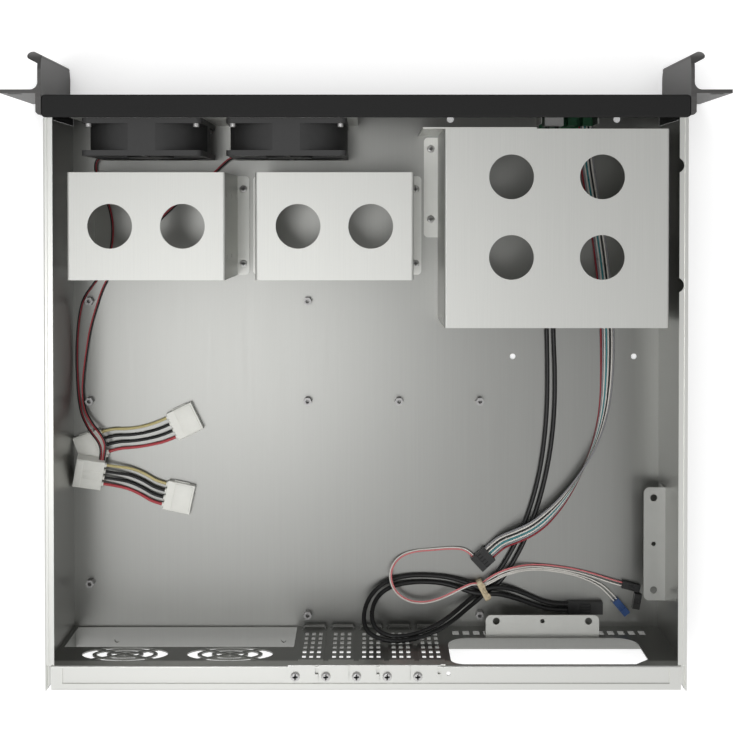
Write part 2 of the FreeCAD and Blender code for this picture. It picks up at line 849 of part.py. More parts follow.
def make_bezel():
    """A hood with an open back: front wall, top and sides."""
    body = new_body("front_bezel")
    half = bezel_width / 2
    sketch = new_sketch(body, "XZ_Plane", -front_y)
    draw_rectangle(sketch, -half, half, 0, sizes.bezel_height)
    pad(body, sketch, sizes.bezel_depth)
    round_edges(body, sizes.bezel_corner, lambda edge: runs_along(edge, 2))
    round_edges(body, 1.0, lambda edge: runs_along(edge, 0)
                and near(middle_of(edge).z, sizes.bezel_height))
    wall = sizes.bezel_wall
    sketch = new_sketch(body, "XZ_Plane", -front_y)
    draw_rectangle(sketch, wall - half, half - wall, -1, sizes.bezel_height - wall)
    pocket(body, sketch, sizes.bezel_depth - wall, reverse=True)

    sketch = new_sketch(body, "XZ_Plane", -bezel_front_y)
    bay_half = sizes.bay_cage_width / 2 - sizes.sheet
    bay_top = sizes.bezel_height - sizes.bay_opening_drop
    draw_rectangle(sketch, bay_cage_x - bay_half, bay_cage_x + bay_half,
                   bay_top - sizes.bay_opening_height, bay_top)
    for level in (0, 1):
        draw_centred(sketch, usb_x, usb_port_z(level),
                     sizes.usb_port_width + 0.6, sizes.usb_port_height + 0.6)
    draw_circle(sketch, power_x, sizes.switch_z, sizes.power_cap + 2 * sizes.gap)
    draw_circle(sketch, reset_x, sizes.switch_z, sizes.reset_cap + 2 * sizes.gap)
    for step in (0, 1):
        draw_circle(sketch, lamp_x(step), sizes.lamp_z, sizes.lamp_diameter + 2 * sizes.gap)
    pocket(body, sketch, sizes.bezel_wall + 1)

    # screw holes of the ears, through both side walls
    sketch = new_sketch(body, "YZ_Plane")
    for z in EAR_SCREW_LEVELS:
        draw_circle(sketch, bezel_front_y + EAR_SCREW_SETBACK, z, sizes.pan_shank + 2 * sizes.gap)
    pocket(body, sketch, bezel_width + 4, middle=True)

    # upright louvres before both fans
    sketch = new_sketch(body, "XZ_Plane", -bezel_front_y)
    first = (sizes.louvre_count - 1) * sizes.louvre_pitch / 2
    for fan_x in (fan_1_x, fan_2_x):
        draw_centred(sketch, fan_x - first, fan_middle_z, sizes.louvre_width, sizes.louvre_height)
    slots = pocket(body, sketch, sizes.bezel_wall + 1)
    repeat(body, slots, "X_Axis", sizes.louvre_pitch, int(sizes.louvre_count.number))
    return keep(body)


def usb_port_z(level):
    return board_top + sizes.usb_height / 2 + (level - 0.5) * sizes.usb_port_pitch


def lamp_x(step):
    return first_lamp_x - step * sizes.lamp_pitch


def make_fan_plate():
    """Upright sheet that carries both fans, with a pressed finger guard before each."""
    body = new_body("fan_plate_sheet")
    left = fan_1_x + sizes.fan_size / 2 + sizes.fan_plate_margin
    right = fan_2_x - sizes.fan_size / 2 - sizes.fan_plate_margin
    sketch = new_sketch(body, "YZ_Plane", right)
    plate_top = sizes.bezel_height - sizes.bezel_wall - sizes.gap
    draw_polygon(sketch, [
        (front_y, floor_top), (front_y, plate_top), (front_y - sizes.sheet, plate_top),
        (front_y - sizes.sheet, floor_top + sizes.sheet),
        (front_y - sizes.front_floor_reach + 1, floor_top + sizes.sheet),
        (front_y - sizes.front_floor_reach + 1, floor_top),
    ])
    pad(body, sketch, left - right)
    bore = sizes.fan_bore
    sketch = new_sketch(body, "XZ_Plane", -front_y)
    for fan_x in (fan_1_x, fan_2_x):
        draw_circle(sketch, fan_x, fan_middle_z, bore)
        for dx in (-0.5, 0.5):
            for dz in (-0.5, 0.5):
                draw_circle(sketch, fan_x + dx * sizes.fan_screw_pitch,
                            fan_middle_z + dz * sizes.fan_screw_pitch, sizes.fan_screw_hole)
    pocket(body, sketch, 4 * sizes.sheet, middle=True)
    return body


def make_guard(name, fan_x):
    """Rings and spokes of one finger guard, which fill the bore of the plate."""
    sheet_now, bore = sizes.sheet.number, sizes.fan_bore.number / 2
    bar = sizes.guard_pitch.number - sizes.guard_slot.number
    rings = []
    outer = bore - sizes.guard_slot.number
    while outer > bar * 2:
        rings.append(Part.makeCylinder(outer, sheet_now, Vector(), Vector(0, 1, 0)).cut(
            Part.makeCylinder(outer - bar, sheet_now, Vector(), Vector(0, 1, 0))))
        outer -= sizes.guard_pitch.number
    width = sizes.guard_spoke.number
    spokes = []
    for turn in (45, 135):
        spoke = Part.makeBox(2 * bore + 0.6, sheet_now, width, Vector(-bore - 0.3, 0, -width / 2))
        spoke.rotate(Vector(), Vector(0, 1, 0), turn)
        spokes.append(spoke)
    hub = Part.makeCylinder(2 * width, sheet_now, Vector(), Vector(0, 1, 0))
    guard = doc.addObject("Part::Feature", name)
    guard.Shape = hub.fuse(rings + spokes)
    start = Vector(fan_x.number, front_y.number - sheet_now, fan_middle_z.number)
    guard.Placement = FreeCAD.Placement(start, Rotation())
    return guard


def make_grip_corner(name, side, tip_y, axis_z, block_z):
    """What a rounded front corner of a handle leaves out: a block less a rod that lies along X."""
    radius, length = sizes.grip_corner, 2 * (sizes.hook_reach + sizes.hook_thickness)
    start_x = side * (bezel_width / 2 + sizes.hook_thickness) - length / 2
    block = doc.addObject("Part::Box", f"{name}_block")
    for edge, size in (("Length", length), ("Width", radius + 1), ("Height", radius + 1)):
        bind(block, edge, size)
    place(block, start_x, tip_y - 1, block_z)
    core = place(rod(f"{name}_core", 2 * radius, length + 2), start_x - 1, tip_y + radius, axis_z, TOWARDS["right"])
    return without(name, block, core)


def make_ear(side_name, side):
    """Rack ear, pull handle and fixing web in one extrusion; side is 1 for +X and -1 for -X."""
    body = new_body(f"ear_{side_name}_extrusion")
    inner = bezel_width / 2
    ear_front = bezel_front_y - sizes.ear_front_step
    ear_back = ear_front + sizes.ear_thickness
    web_out = inner + sizes.web_thickness
    grip_out = inner + sizes.grip_thickness
    grip_end = ear_front - sizes.grip_reach
    turn_cos, turn_sin = side_cos(sizes.hook_angle), side_sin(sizes.hook_angle)
    thick = sizes.hook_thickness
    # the hook leans outwards from the end of the grip
    heel_x, heel_y = inner - 0.4, grip_end - 1.5
    reach_x, reach_y = sizes.hook_reach * turn_cos, sizes.hook_reach * turn_sin
    cross_x, cross_y = thick * turn_sin, thick * turn_cos
    points = [
        (inner, bezel_front_y + sizes.web_length),
        (web_out - 1.6, bezel_front_y + sizes.web_length),
        (web_out, bezel_front_y + sizes.web_length - 1.6),
        (web_out, ear_back),
        (ear_end, ear_back),
        (ear_end, ear_front),
        (grip_out, ear_front),
        (grip_out, heel_y + cross_y),
        (heel_x + reach_x + cross_x, heel_y - reach_y + cross_y),
        (heel_x + reach_x, heel_y - reach_y),
        (heel_x, heel_y),
        (inner, grip_end),
        (inner, ear_front),
    ]
    if side < 0:
        points = [(-x, y) for x, y in points]
    sketch = new_sketch(body, "XY_Plane")
    draw_polygon(sketch, points)
    pad(body, sketch, sizes.bezel_height)

    def upright(edge, x, y):
        return (runs_along(edge, 2) and near(abs(middle_of(edge).x), x) and near(middle_of(edge).y, y))
    tip_x, tip_y = heel_x + reach_x, heel_y - reach_y
    round_edges(body, thick / 2 - 0.1, lambda edge: upright(edge, tip_x, tip_y)
                or upright(edge, tip_x + cross_x, tip_y + cross_y))
    round_edges(body, sizes.ear_fillet, lambda edge: upright(edge, grip_out, ear_front))
    round_edges(body, 1.0, lambda edge: upright(edge, heel_x, heel_y))

    # screw holes of the web
    sketch = new_sketch(body, "YZ_Plane", side * (inner + sizes.web_thickness / 2))
    for z in EAR_SCREW_LEVELS:
        draw_circle(sketch, bezel_front_y + EAR_SCREW_SETBACK, z, sizes.pan_shank + 2 * sizes.gap)
    pocket(body, sketch, 2 * sizes.web_thickness, middle=True)

    # two rack slots with round ends
    slot_x = side * (ear_end - sizes.rack_slot_inset)
    run = sizes.rack_slot_width - sizes.rack_slot_height
    sketch = new_sketch(body, "XZ_Plane", -ear_back)
    centres = [sizes.bezel_height / 2 + level * sizes.rack_slot_pitch for level in (-0.5, 0.5)]
    for z in centres:
        draw_centred(sketch, slot_x, z, run, sizes.rack_slot_height)
    pocket(body, sketch, 2 * sizes.ear_thickness, middle=True)
    for end in (-0.5, 0.5):
        sketch = new_sketch(body, "XZ_Plane", -ear_back)
        for z in centres:
            draw_circle(sketch, slot_x + end * run, z, sizes.rack_slot_height)
        pocket(body, sketch, 2 * sizes.ear_thickness + 1, middle=True)

    # the grip's front corners are rounded
    low, high = sizes.grip_corner, sizes.bezel_height - sizes.grip_corner
    corners = [make_grip_corner(f"grip_{side_name}_low", side, tip_y, low, Size.of(-1)),
               make_grip_corner(f"grip_{side_name}_high", side, tip_y, high, high)]
    return keep(without(f"ear_handle_{side_name}", body, group(f"grip_{side_name}_corners", corners)))


def make_bay_cover():
    """Blank cover of the wide bay, a shallow tray that plugs the bezel's opening."""
    body = new_body("bay_blank_cover")
    half = sizes.bay_cage_width / 2 - sizes.sheet - sizes.gap
    top = sizes.bezel_height - sizes.bay_opening_drop - sizes.gap
    bottom = top + 2 * sizes.gap - sizes.bay_opening_height
    sketch = new_sketch(body, "XZ_Plane", -bezel_front_y)
    draw_rectangle(sketch, bay_cage_x - half, bay_cage_x + half, bottom, top)
    pad(body, sketch, sizes.bezel_depth - 4, reverse=True)
    sketch = new_sketch(body, "XZ_Plane", -bezel_front_y - sizes.bezel_depth + 4)
    wall = sizes.bezel_wall
    draw_rectangle(sketch, bay_cage_x - half + wall, bay_cage_x + half - wall,
                   bottom + wall, top - wall)
    pocket(body, sketch, sizes.bezel_depth - 4 - wall, reverse=True)
    round_edges(body, 0.6, lambda edge: near(middle_of(edge).y, bezel_front_y))
    return keep(body)


# ---------------------------------------------------------------- cages

def make_cage(label, centre_x, centre_y, width, length, foot, foot_front, foot_length):
    """An inverted channel with a foot along each side."""
    body = new_body(label)
    half = width / 2
    wall = sizes.sheet
    top = sizes.cage_top
    sketch = new_sketch(body, "XZ_Plane", -centre_y)
    draw_polygon(sketch, [
        (centre_x - half, floor_top), (centre_x - half, top), (centre_x + half, top),
        (centre_x + half, floor_top), (centre_x + half - wall, floor_top),
        (centre_x + half - wall, top - wall), (centre_x - half + wall, top - wall),
        (centre_x - half + wall, floor_top),
    ])
    pad(body, sketch, length, middle=True)
    round_edges(body, sizes.bend, lambda edge: runs_along(edge, 1) and near(middle_of(edge).z, top))
    sketch = new_sketch(body, "XY_Plane", floor_top)
    for side in (-1, 1):
        inner_edge = centre_x + side * (half - wall)
        outer_edge = centre_x + side * (half + foot)
        draw_rectangle(sketch, inner_edge, outer_edge, foot_front, foot_front + foot_length)
    pad(body, sketch, wall)
    round_edges(body, 3.0, lambda edge: runs_along(edge, 2) and middle_of(edge).z < floor_top.number + wall.number
                and near(abs(middle_of(edge).x - centre_x.number), half + foot))
    return body


def cut_cage_holes(body, circles, screw_rows, centre_x, width):
    """Round windows in the top, and drive-screw holes through both walls."""
    sketch = new_sketch(body, "XY_Plane", sizes.cage_top)
    for x, y in circles:
        draw_circle(sketch, x, y, sizes.cage_hole)
    pocket(body, sketch, 3 * sizes.sheet)
    sketch = new_sketch(body, "YZ_Plane", centre_x)
    for y, z in screw_rows:
        draw_circle(sketch, y, z, sizes.drive_screw_hole)
    pocket(body, sketch, width + 4, middle=True)


def foot_screw_places(centre_x, width, foot, side, rows):
    x = centre_x + side * (width / 2 + foot / 2)
    return [(x, y) for y in rows]


def make_drive_cage(number, centre_x):
    """Cage for narrow drives, stacked flat, two to a cage."""
    front = drive_cage_y - sizes.drive_cage_length / 2
    body = make_cage(f"drive_cage_{number}", centre_x, drive_cage_y, sizes.drive_cage_width,
                     sizes.drive_cage_length, sizes.drive_foot, front, sizes.drive_cage_length)
    circles = [(centre_x + side * sizes.cage_hole_pitch / 2, drive_cage_y) for side in (-1, 1)]
    rows = [(drive_cage_y + step * 20.8, z) for step in (-1, 1) for z in (13.0, 43.0, 73.0)]
    cut_cage_holes(body, circles, rows, centre_x, sizes.drive_cage_width)
    drill_feet(body, drive_foot_screws(centre_x))
    return keep(body)


def drive_foot_screws(centre_x):
    rows = [drive_cage_y - 26.2, drive_cage_y + 27.6]
    return [place for side in (-1, 1) for place in
            foot_screw_places(centre_x, sizes.drive_cage_width, sizes.drive_foot, side, rows)]


def bay_foot_screws():
    rows = [bay_cage_y - 56.6, bay_cage_y - 6.0]
    return [place for side in (-1, 1) for place in
            foot_screw_places(bay_cage_x, sizes.bay_cage_width, sizes.bay_foot, side, rows)]


def cage_screw_places():
    return (drive_foot_screws(drive_cage_1_x) + drive_foot_screws(drive_cage_2_x)
            + bay_foot_screws())


def drill_feet(body, places):
    sketch = new_sketch(body, "XY_Plane", floor_top)
    for x, y in places:
        draw_circle(sketch, x, y, sizes.pan_shank + 0.4)
    pocket(body, sketch, 3 * sizes.sheet, middle=True)


def make_bay_cage():
    """Cage for the wide bay, with a front flange on its open side and a lip above the drive."""
    width, length = sizes.bay_cage_width, sizes.bay_cage_length
    front = bay_cage_y - length / 2
    body = make_cage("bay_cage", bay_cage_x, bay_cage_y, width, length,
                     sizes.bay_foot, front + 1, sizes.bay_foot_length)
    hole_y = bay_cage_y - sizes.bay_hole_shift
    circles = [(bay_cage_x + i * sizes.bay_hole_pitch_x / 2, hole_y + j * sizes.bay_hole_pitch_y / 2)
               for i in (-1, 1) for j in (-1, 1)]
    rows = [(front + start, z) for start in (47.4, 79.2, 126.9) for z in (53.0, 75.0)]
    cut_cage_holes(body, circles, rows, bay_cage_x, width)
    drill_feet(body, bay_foot_screws())
    # front flange, turned outwards, and the lip that runs on from its top edge
    left = bay_cage_x + width / 2
    sketch = new_sketch(body, "XZ_Plane", -front)
    draw_polygon(sketch, [
        (left + sizes.bay_flange, floor_top), (left + sizes.bay_flange, sizes.cage_top - 0.2),
        (left - sizes.bay_lip_length, sizes.cage_top - 0.2),
        (left - sizes.bay_lip_length, sizes.cage_top - 1.4),
        (left - sizes.sheet, sizes.cage_top - 1.4), (left - sizes.sheet, floor_top),
    ])
    pad(body, sketch, sizes.sheet)
    sketch = new_sketch(body, "XZ_Plane", -front)
    for z in (22.0, 66.0):
        draw_circle(sketch, left + sizes.bay_flange * 0.55, z, 3.6)
    pocket(body, sketch, 3 * sizes.sheet, middle=True)
    return keep(body)


def make_cage_screws():
    """Pan heads on the feet of the three cages."""
    screws = [
        pan_screw(f"cage_screw_{number}", x, y, floor_top + sizes.sheet, "up",
                  sizes.small_head, sizes.small_head_height, sizes.pan_shank, 2 * sizes.sheet - 0.1)
        for number, (x, y) in enumerate(cage_screw_places(), 1)
    ]
    return keep(group("cage_screws", screws))


# ---------------------------------------------------------------- fans

def make_fan_frame(number, fan_x):
    """Square frame: two flanges, a round barrel, and a hub on four struts at the outlet."""
    body = new_body(f"fan_{number}_frame")
    size = sizes.fan_size
    sketch = new_sketch(body, "XZ_Plane", -front_y)
    draw_centred(sketch, fan_x, fan_middle_z, size, size)
    pad(body, sketch, sizes.fan_depth, reverse=True)
    round_edges(body, sizes.fan_corner, lambda edge: runs_along(edge, 1))
    # waist between the flanges, outside the barrel
    sketch = new_sketch(body, "XZ_Plane", -front_y - sizes.fan_flange)
    draw_centred(sketch, fan_x, fan_middle_z, size + 8, size + 8)
    draw_circle(sketch, fan_x, fan_middle_z, sizes.fan_barrel)
    pocket(body, sketch, sizes.fan_depth - 2 * sizes.fan_flange)
    # bore and screw holes
    sketch = new_sketch(body, "XZ_Plane", -front_y)
    draw_circle(sketch, fan_x, fan_middle_z, sizes.fan_bore)
    for dx in (-0.5, 0.5):
        for dz in (-0.5, 0.5):
            draw_circle(sketch, fan_x + dx * sizes.fan_screw_pitch,
                        fan_middle_z + dz * sizes.fan_screw_pitch, sizes.fan_screw_hole)
    pocket(body, sketch, sizes.fan_depth + 1)
    # hub plate and struts
    sketch = new_sketch(body, "XZ_Plane", -fan_back_y)
    draw_circle(sketch, fan_x, fan_middle_z, sizes.fan_hub)
    pad(body, sketch, sizes.fan_hub_plate)
    for across, up in ((sizes.fan_bore + 1, sizes.fan_strut), (sizes.fan_strut, sizes.fan_bore + 1)):
        sketch = new_sketch(body, "XZ_Plane", -fan_back_y)
        draw_centred(sketch, fan_x, fan_middle_z, across, up)
        pad(body, sketch, sizes.fan_hub_plate)
    sketch = new_sketch(body, "XZ_Plane", -fan_back_y)
    draw_circle(sketch, fan_x, fan_middle_z, sizes.shaft + 2 * sizes.gap)
    pocket(body, sketch, 2 * sizes.fan_hub_plate + 1, middle=True)
    return keep(body)


def make_blade(inner, outer, depth):
    """One blade: a loft between a steep root section and a flatter tip section, about the Y axis."""
    thickness = sizes.blade_thickness.number
    sections = []
    for share in (0.0, 0.5, 1.0):
        radius = inner + share * (outer - inner)
        angle = math.radians(sizes.blade_angle.number + 16 * share)
        chord = depth / math.cos(angle)
        along = Vector(math.sin(angle), math.cos(angle), 0)
        across = Vector(math.cos(angle), -math.sin(angle), 0)
        middle = Vector(5.0 * share, 0, radius)
        corners = [middle + along * (i * chord / 2) + across * (j * thickness / 2)
                   for i, j in ((-1, -1), (1, -1), (1, 1), (-1, 1))]
        sections.append(Part.makePolygon(corners + corners[:1]))
    return Part.makeLoft(sections, True, False)


def make_rotor(number, fan_x):
    """Cup hub with seven swept blades and a shaft that runs in the frame's hub."""
    depth = sizes.fan_depth.number - sizes.fan_hub_plate.number - 2.5
    hub_radius = sizes.fan_hub.number / 2 - 0.5
    tip_radius = sizes.fan_bore.number / 2 - sizes.fan_tip_gap.number
    along = Vector(0, 1, 0)
    hub = Part.makeCylinder(hub_radius, depth, Vector(), along)
    front_edge = [edge for edge in hub.Edges if abs(middle_of(edge).y) < 0.01 and edge.Closed]
    hub = hub.makeFillet(2.0, front_edge)
    hollow = Part.makeCylinder(hub_radius - 1.5, depth - 4, Vector(0, 4, 0), along)
    hub = hub.cut(hollow)
    pin_length = depth - 4 + sizes.gap.number + sizes.fan_hub_plate.number
    pin = Part.makeCylinder(sizes.shaft.number / 2, pin_length, Vector(0, 4, 0), along)
    blade = make_blade(hub_radius - 1.0, tip_radius, depth * 0.62)
    keep_ring = Part.makeCylinder(tip_radius, depth, Vector(), along)
    blades = []
    for turn in range(7):
        copy = blade.copy()
        copy.translate(Vector(0, depth / 2, 0))
        copy = copy.common(keep_ring)
        copy.rotate(Vector(), along, turn * 360 / 7)
        blades.append(copy.cut(hollow))
    rotor = doc.addObject("Part::Feature", f"fan_{number}_rotor")
    rotor.Shape = hub.fuse(blades + [pin]).removeSplitter()
    rotor.Label = f"fan_{number}_rotor"
    start_y = fan_back_y.number - sizes.fan_hub_plate.number - sizes.gap.number - depth
    rotor.Placement = FreeCAD.Placement(Vector(fan_x.number, start_y, fan_middle_z.number), Rotation())
    return keep(rotor)


def make_fan_screws():
    """Eight screws through the fan plate and the front flange of each fan."""
    screws = []
    for fan_x in (fan_1_x, fan_2_x):
        for dx in (-0.5, 0.5):
            for dz in (-0.5, 0.5):
                screws.append(pan_screw(
                    f"fan_screw_{len(screws) + 1}", fan_x + dx * sizes.fan_screw_pitch,
                    front_y - sizes.sheet, fan_middle_z + dz * sizes.fan_screw_pitch, "front",
                    sizes.pan_head + 1, sizes.pan_head_height, sizes.fan_screw_hole - 0.2,
                    sizes.sheet + sizes.fan_flange + 2.6))
    return keep(group("fan_screws", screws))


# ---------------------------------------------------------------- standoffs, shelves and rivets

def make_standoffs():
    """Hexagonal pillars in the pattern of a full-size board."""
    columns = [board_x, board_x - sizes.board_column_2,
               board_x - sizes.board_column_3, board_x - sizes.board_column_4]
    rows = [board_y, board_y - sizes.board_row_2,
            board_y - sizes.board_row_3, board_y - sizes.board_row_4]
    taken = [(1, 0), (3, 0), (0, 1), (0, 2), (1, 2), (2, 2), (3, 2), (0, 3), (1, 3)]
    pillars = []
    for column, row in taken:
        name = f"standoff_{len(pillars) + 1}"
        prism = doc.addObject("Part::Prism", f"{name}_hexagon")
        prism.Polygon = 6
        bind(prism, "Circumradius", sizes.standoff_flats / math.sqrt(3))
        bind(prism, "Height", sizes.standoff_height)
        bore = rod(f"{name}_bore", sizes.standoff_bore, sizes.standoff_height)
        bind(bore, ".Placement.Base.z", 0.8)
        pillar = without(name, prism, bore)
        pillars.append(place(pillar, columns[column], rows[row], floor_top))
    return keep(group("board_standoffs", pillars))


def make_shelf(label, on_side):
    """An angle that carries the power supply: a shelf with three holes, and a leg on the wall."""
    body = new_body(label)
    half = sizes.shelf_length / 2
    top, wall = sizes.shelf_top, sizes.sheet
    if on_side:
        seat = -inner_half
        sketch = new_sketch(body, "XZ_Plane", -side_shelf_y)
        draw_polygon(sketch, [
            (seat, top), (seat + sizes.shelf_depth, top), (seat + sizes.shelf_depth, top - wall),
            (seat + wall, top - wall), (seat + wall, top - sizes.shelf_leg), (seat, top - sizes.shelf_leg),
        ])
    else:
        seat = wall_in_y
        sketch = new_sketch(body, "YZ_Plane", rear_shelf_x)
        draw_polygon(sketch, [
            (seat, top), (seat - sizes.shelf_depth, top), (seat - sizes.shelf_depth, top - wall),
            (seat - wall, top - wall), (seat - wall, top - sizes.shelf_leg), (seat, top - sizes.shelf_leg),
        ])
    pad(body, sketch, sizes.shelf_length, middle=True)
    free = seat + sizes.shelf_depth if on_side else seat - sizes.shelf_depth
    along = 0 if on_side else 1
    round_edges(body, sizes.shelf_corner, lambda edge: runs_along(edge, 2)
                and near(middle_of(edge)[along], free))
    sketch = new_sketch(body, "XY_Plane", top)
    for step in (-1, 0, 1):
        diameter = sizes.shelf_hole if step else sizes.shelf_mid_hole
        if on_side:
            draw_circle(sketch, seat + sizes.shelf_depth - sizes.shelf_hole_inset + 4,
                        side_shelf_y + step * sizes.shelf_hole_pitch, diameter)
        else:
            draw_circle(sketch, rear_shelf_x + step * sizes.shelf_hole_pitch,
                        seat - sizes.shelf_hole_inset, diameter)
    pocket(body, sketch, 3 * wall, middle=True)
    return keep(body)


def make_rivets():
    """Rivet heads outside the case that hold the rear panel to the side walls."""
    rivets = []
    for side, facing in ((-1, "left"), (1, "right")):
        for z in (14.0, 43.0, 72.0):
            head = doc.addObject("Part::Cone", f"rivet_{len(rivets) + 1}")
            bind(head, "Radius1", sizes.rivet_head / 2)
            bind(head, "Radius2", sizes.rivet_head / 2 - 0.9)
            bind(head, "Height", sizes.rivet_height)
            rivets.append(place(head, side * half_width, rear_y - 6.5, z, TOWARDS[facing]))
    return keep(group("panel_rivets", rivets))


def make_ear_screws():
    """Flat heads that hold each ear's web to the bezel."""
    screws = []
    for side, facing in ((-1, "left"), (1, "right")):
        for z in EAR_SCREW_LEVELS:
            screws.append(pan_screw(
                f"ear_screw_{len(screws) + 1}", side * (bezel_width / 2 + sizes.web_thickness),
                bezel_front_y + EAR_SCREW_SETBACK, z, facing, sizes.pan_head, sizes.small_head_height,
                sizes.pan_shank, sizes.web_thickness + sizes.bezel_wall))
    return screws


# ---------------------------------------------------------------- front ports and switches

def make_io_bracket():
    """Channel on the floor behind the bezel, which holds the switch board."""
    body = new_body("port_bracket")
    half = sizes.io_bracket_width / 2
    top = floor_top + sizes.io_bracket_height
    x, wall = io_bracket_x, sizes.sheet
    sketch = new_sketch(body, "XZ_Plane", -front_y)
    draw_polygon(sketch, [
        (x - half, floor_top), (x + half, floor_top), (x + half, top), (x + half - wall, top),
        (x + half - wall, floor_top + wall), (x - half + wall, floor_top + wall),
        (x - half + wall, top), (x - half, top),
    ])
    pad(body, sketch, sizes.bezel_depth - sizes.bezel_wall)
    ledge_z = board_top - sizes.io_board_thickness
    sketch = new_sketch(body, "XZ_Plane", -front_y)
    for side in (-1, 1):
        draw_rectangle(sketch, x + side * (half - wall), x + side * (half - wall - 3), floor_top + wall, ledge_z)
    pad(body, sketch, sizes.bezel_depth - sizes.bezel_wall - 2)
    return keep(body)


def make_io_board():
    """Circuit board with two push switches behind the caps."""
    body = new_body("switch_board")
    half = sizes.io_bracket_width / 2 - sizes.sheet - 0.2
    sketch = new_sketch(body, "XY_Plane", board_top)
    draw_rectangle(sketch, io_bracket_x - half, io_bracket_x + half,
                   front_y - sizes.bezel_depth + sizes.bezel_wall + sizes.gap, front_y + 2)
    pad(body, sketch, sizes.io_board_thickness, reverse=True)
    switch_front = cap_rear + sizes.cap_proud + 0.2
    sketch = new_sketch(body, "XY_Plane", board_top)
    for x in (power_x, reset_x):
        draw_rectangle(sketch, x - 3, x + 3, switch_front, front_y + 1)
    pad(body, sketch, sizes.switch_z + 3 - board_top)
    return keep(body)


cap_front = bezel_front_y - sizes.cap_proud
cap_length = sizes.cap_proud + sizes.bezel_wall + sizes.gap
cap_rear = cap_front + cap_length + sizes.cap_collar


def make_usb_ports():
    """Two stacked ports in one shell."""
    body = new_body("usb_ports")
    half = sizes.usb_width / 2
    sketch = new_sketch(body, "XZ_Plane", -bezel_front_y - sizes.bezel_wall - sizes.gap)
    draw_rectangle(sketch, usb_x - half, usb_x + half, board_top, board_top + sizes.usb_height)
    pad(body, sketch, sizes.usb_depth, reverse=True)
    sketch = new_sketch(body, "XZ_Plane", -bezel_front_y - sizes.bezel_wall - sizes.gap)
    for level in (0, 1):
        draw_centred(sketch, usb_x, usb_port_z(level), sizes.usb_port_width, sizes.usb_port_height)
    pocket(body, sketch, sizes.usb_port_depth, reverse=False)
    # contact tongue in each port
    sketch = new_sketch(body, "XZ_Plane", -bezel_front_y - sizes.bezel_wall - sizes.gap - sizes.usb_port_depth)
    for level in (0, 1):
        draw_centred(sketch, usb_x, usb_port_z(level) + 0.8, sizes.usb_port_width - 2, 1.6)
    pad(body, sketch, sizes.usb_port_depth - 1)
    return keep(body)


def make_button(label, x, diameter):
    """A push cap with a collar behind the bezel that stops it from falling out."""
    cap = rod(f"{label}_cap", diameter, cap_length)
    collar = rod(f"{label}_collar", diameter + 2.4, sizes.cap_collar)
    bind(collar, ".Placement.Base.z", cap_length)
    button = joined(label, [cap, collar])
    return keep(place(button, x, cap_front, sizes.switch_z, TOWARDS["rear"]))


def make_lamps():
    """Two small lamps that look through the bezel, on legs from the board."""
    lamps = []
    for step in (0, 1):
        dome = rod(f"lamp_{step + 1}_dome", sizes.lamp_diameter, 4.4)
        place(dome, lamp_x(step), bezel_front_y, sizes.lamp_z, TOWARDS["rear"])
        leg = doc.addObject("Part::Box", f"lamp_{step + 1}_leg")
        bind(leg, "Length", 2.0)
        bind(leg, "Width", 1.0)
        bind(leg, "Height", sizes.lamp_z - board_top)
        place(leg, lamp_x(step) - 1, bezel_front_y + 3.2, board_top)
        lamps.append(joined(f"lamp_{step + 1}", [dome, leg]))
    return keep(group("indicator_lamps", lamps))


# ---------------------------------------------------------------- plugs and leads

def make_power_plug(label, male, centre, turn, lift=0.0, roll=0.0):
    """A four-way power plug whose wires enter at the -x end of its own frame."""
    body = new_body(label)
    length = sizes.shell_length if male else sizes.plug_length
    width = sizes.shell_width if male else sizes.plug_width
    thickness = sizes.shell_thickness if male else sizes.plug_thickness
    sketch = new_sketch(body, "XY_Plane")
    draw_centred(sketch, Size.of(0), Size.of(0), length, width)
    pad(body, sketch, thickness)
    round_edges(body, 0.8, lambda edge: runs_along(edge, 0))
    sketch = new_sketch(body, "YZ_Plane", length / 2)
    if male:
        draw_centred(sketch, Size.of(0), thickness / 2, width - 2.4, thickness - 2.4)
        pocket(body, sketch, sizes.plug_pin_depth - 3)
    else:
        for step in (-1.5, -0.5, 0.5, 1.5):
            draw_circle(sketch, step * sizes.plug_pin_pitch, thickness / 2, sizes.plug_pin)
        pocket(body, sketch, sizes.plug_pin_depth)
    turned = Rotation(Vector(0, 0, 1), turn) * Rotation(Vector(0, 1, 0), -lift)
    turned = turned * Rotation(Vector(1, 0, 0), roll)
    body.Placement = FreeCAD.Placement(Vector(*centre), turned)
    return keep(body)


def wire_places(plug, reach):
    """Where the four wires of a plug leave its end face, and the points at reach behind them."""
    box = plug.Tip.Shape.BoundBox
    places = []
    for step in (-1.5, -0.5, 0.5, 1.5):
        across = step * sizes.plug_pin_pitch.number
        start = plug.Placement.multVec(Vector(-box.XLength / 2, across, box.ZLength / 2))
        behind = plug.Placement.multVec(Vector(-box.XLength / 2 - reach, across, box.ZLength / 2))
        places.append((start, behind))
    return places


def side_entry(plug, along):
    """The last two points of a lead that enters the long side of a plug, along from its middle."""
    box = plug.Tip.Shape.BoundBox
    return [plug.Placement.multVec(Vector(along, -box.YLength / 2 - reach, box.ZLength / 2))
            for reach in (7.0, 0.0)]


def make_header_plug(label, x, y, z, length, width, height, turn):
    """A small rectangular socket housing; x, y and z are the middle of its underside."""
    body = new_body(label)
    sketch = new_sketch(body, "XY_Plane")
    draw_rectangle(sketch, -length / 2, length / 2, -width / 2, width / 2)
    pad(body, sketch, height)
    round_edges(body, 0.5, lambda edge: runs_along(edge, 0) and middle_of(edge).z > height / 2)
    body.Placement = FreeCAD.Placement(Vector(x, y, z), Rotation(Vector(0, 0, 1), turn))
    return body


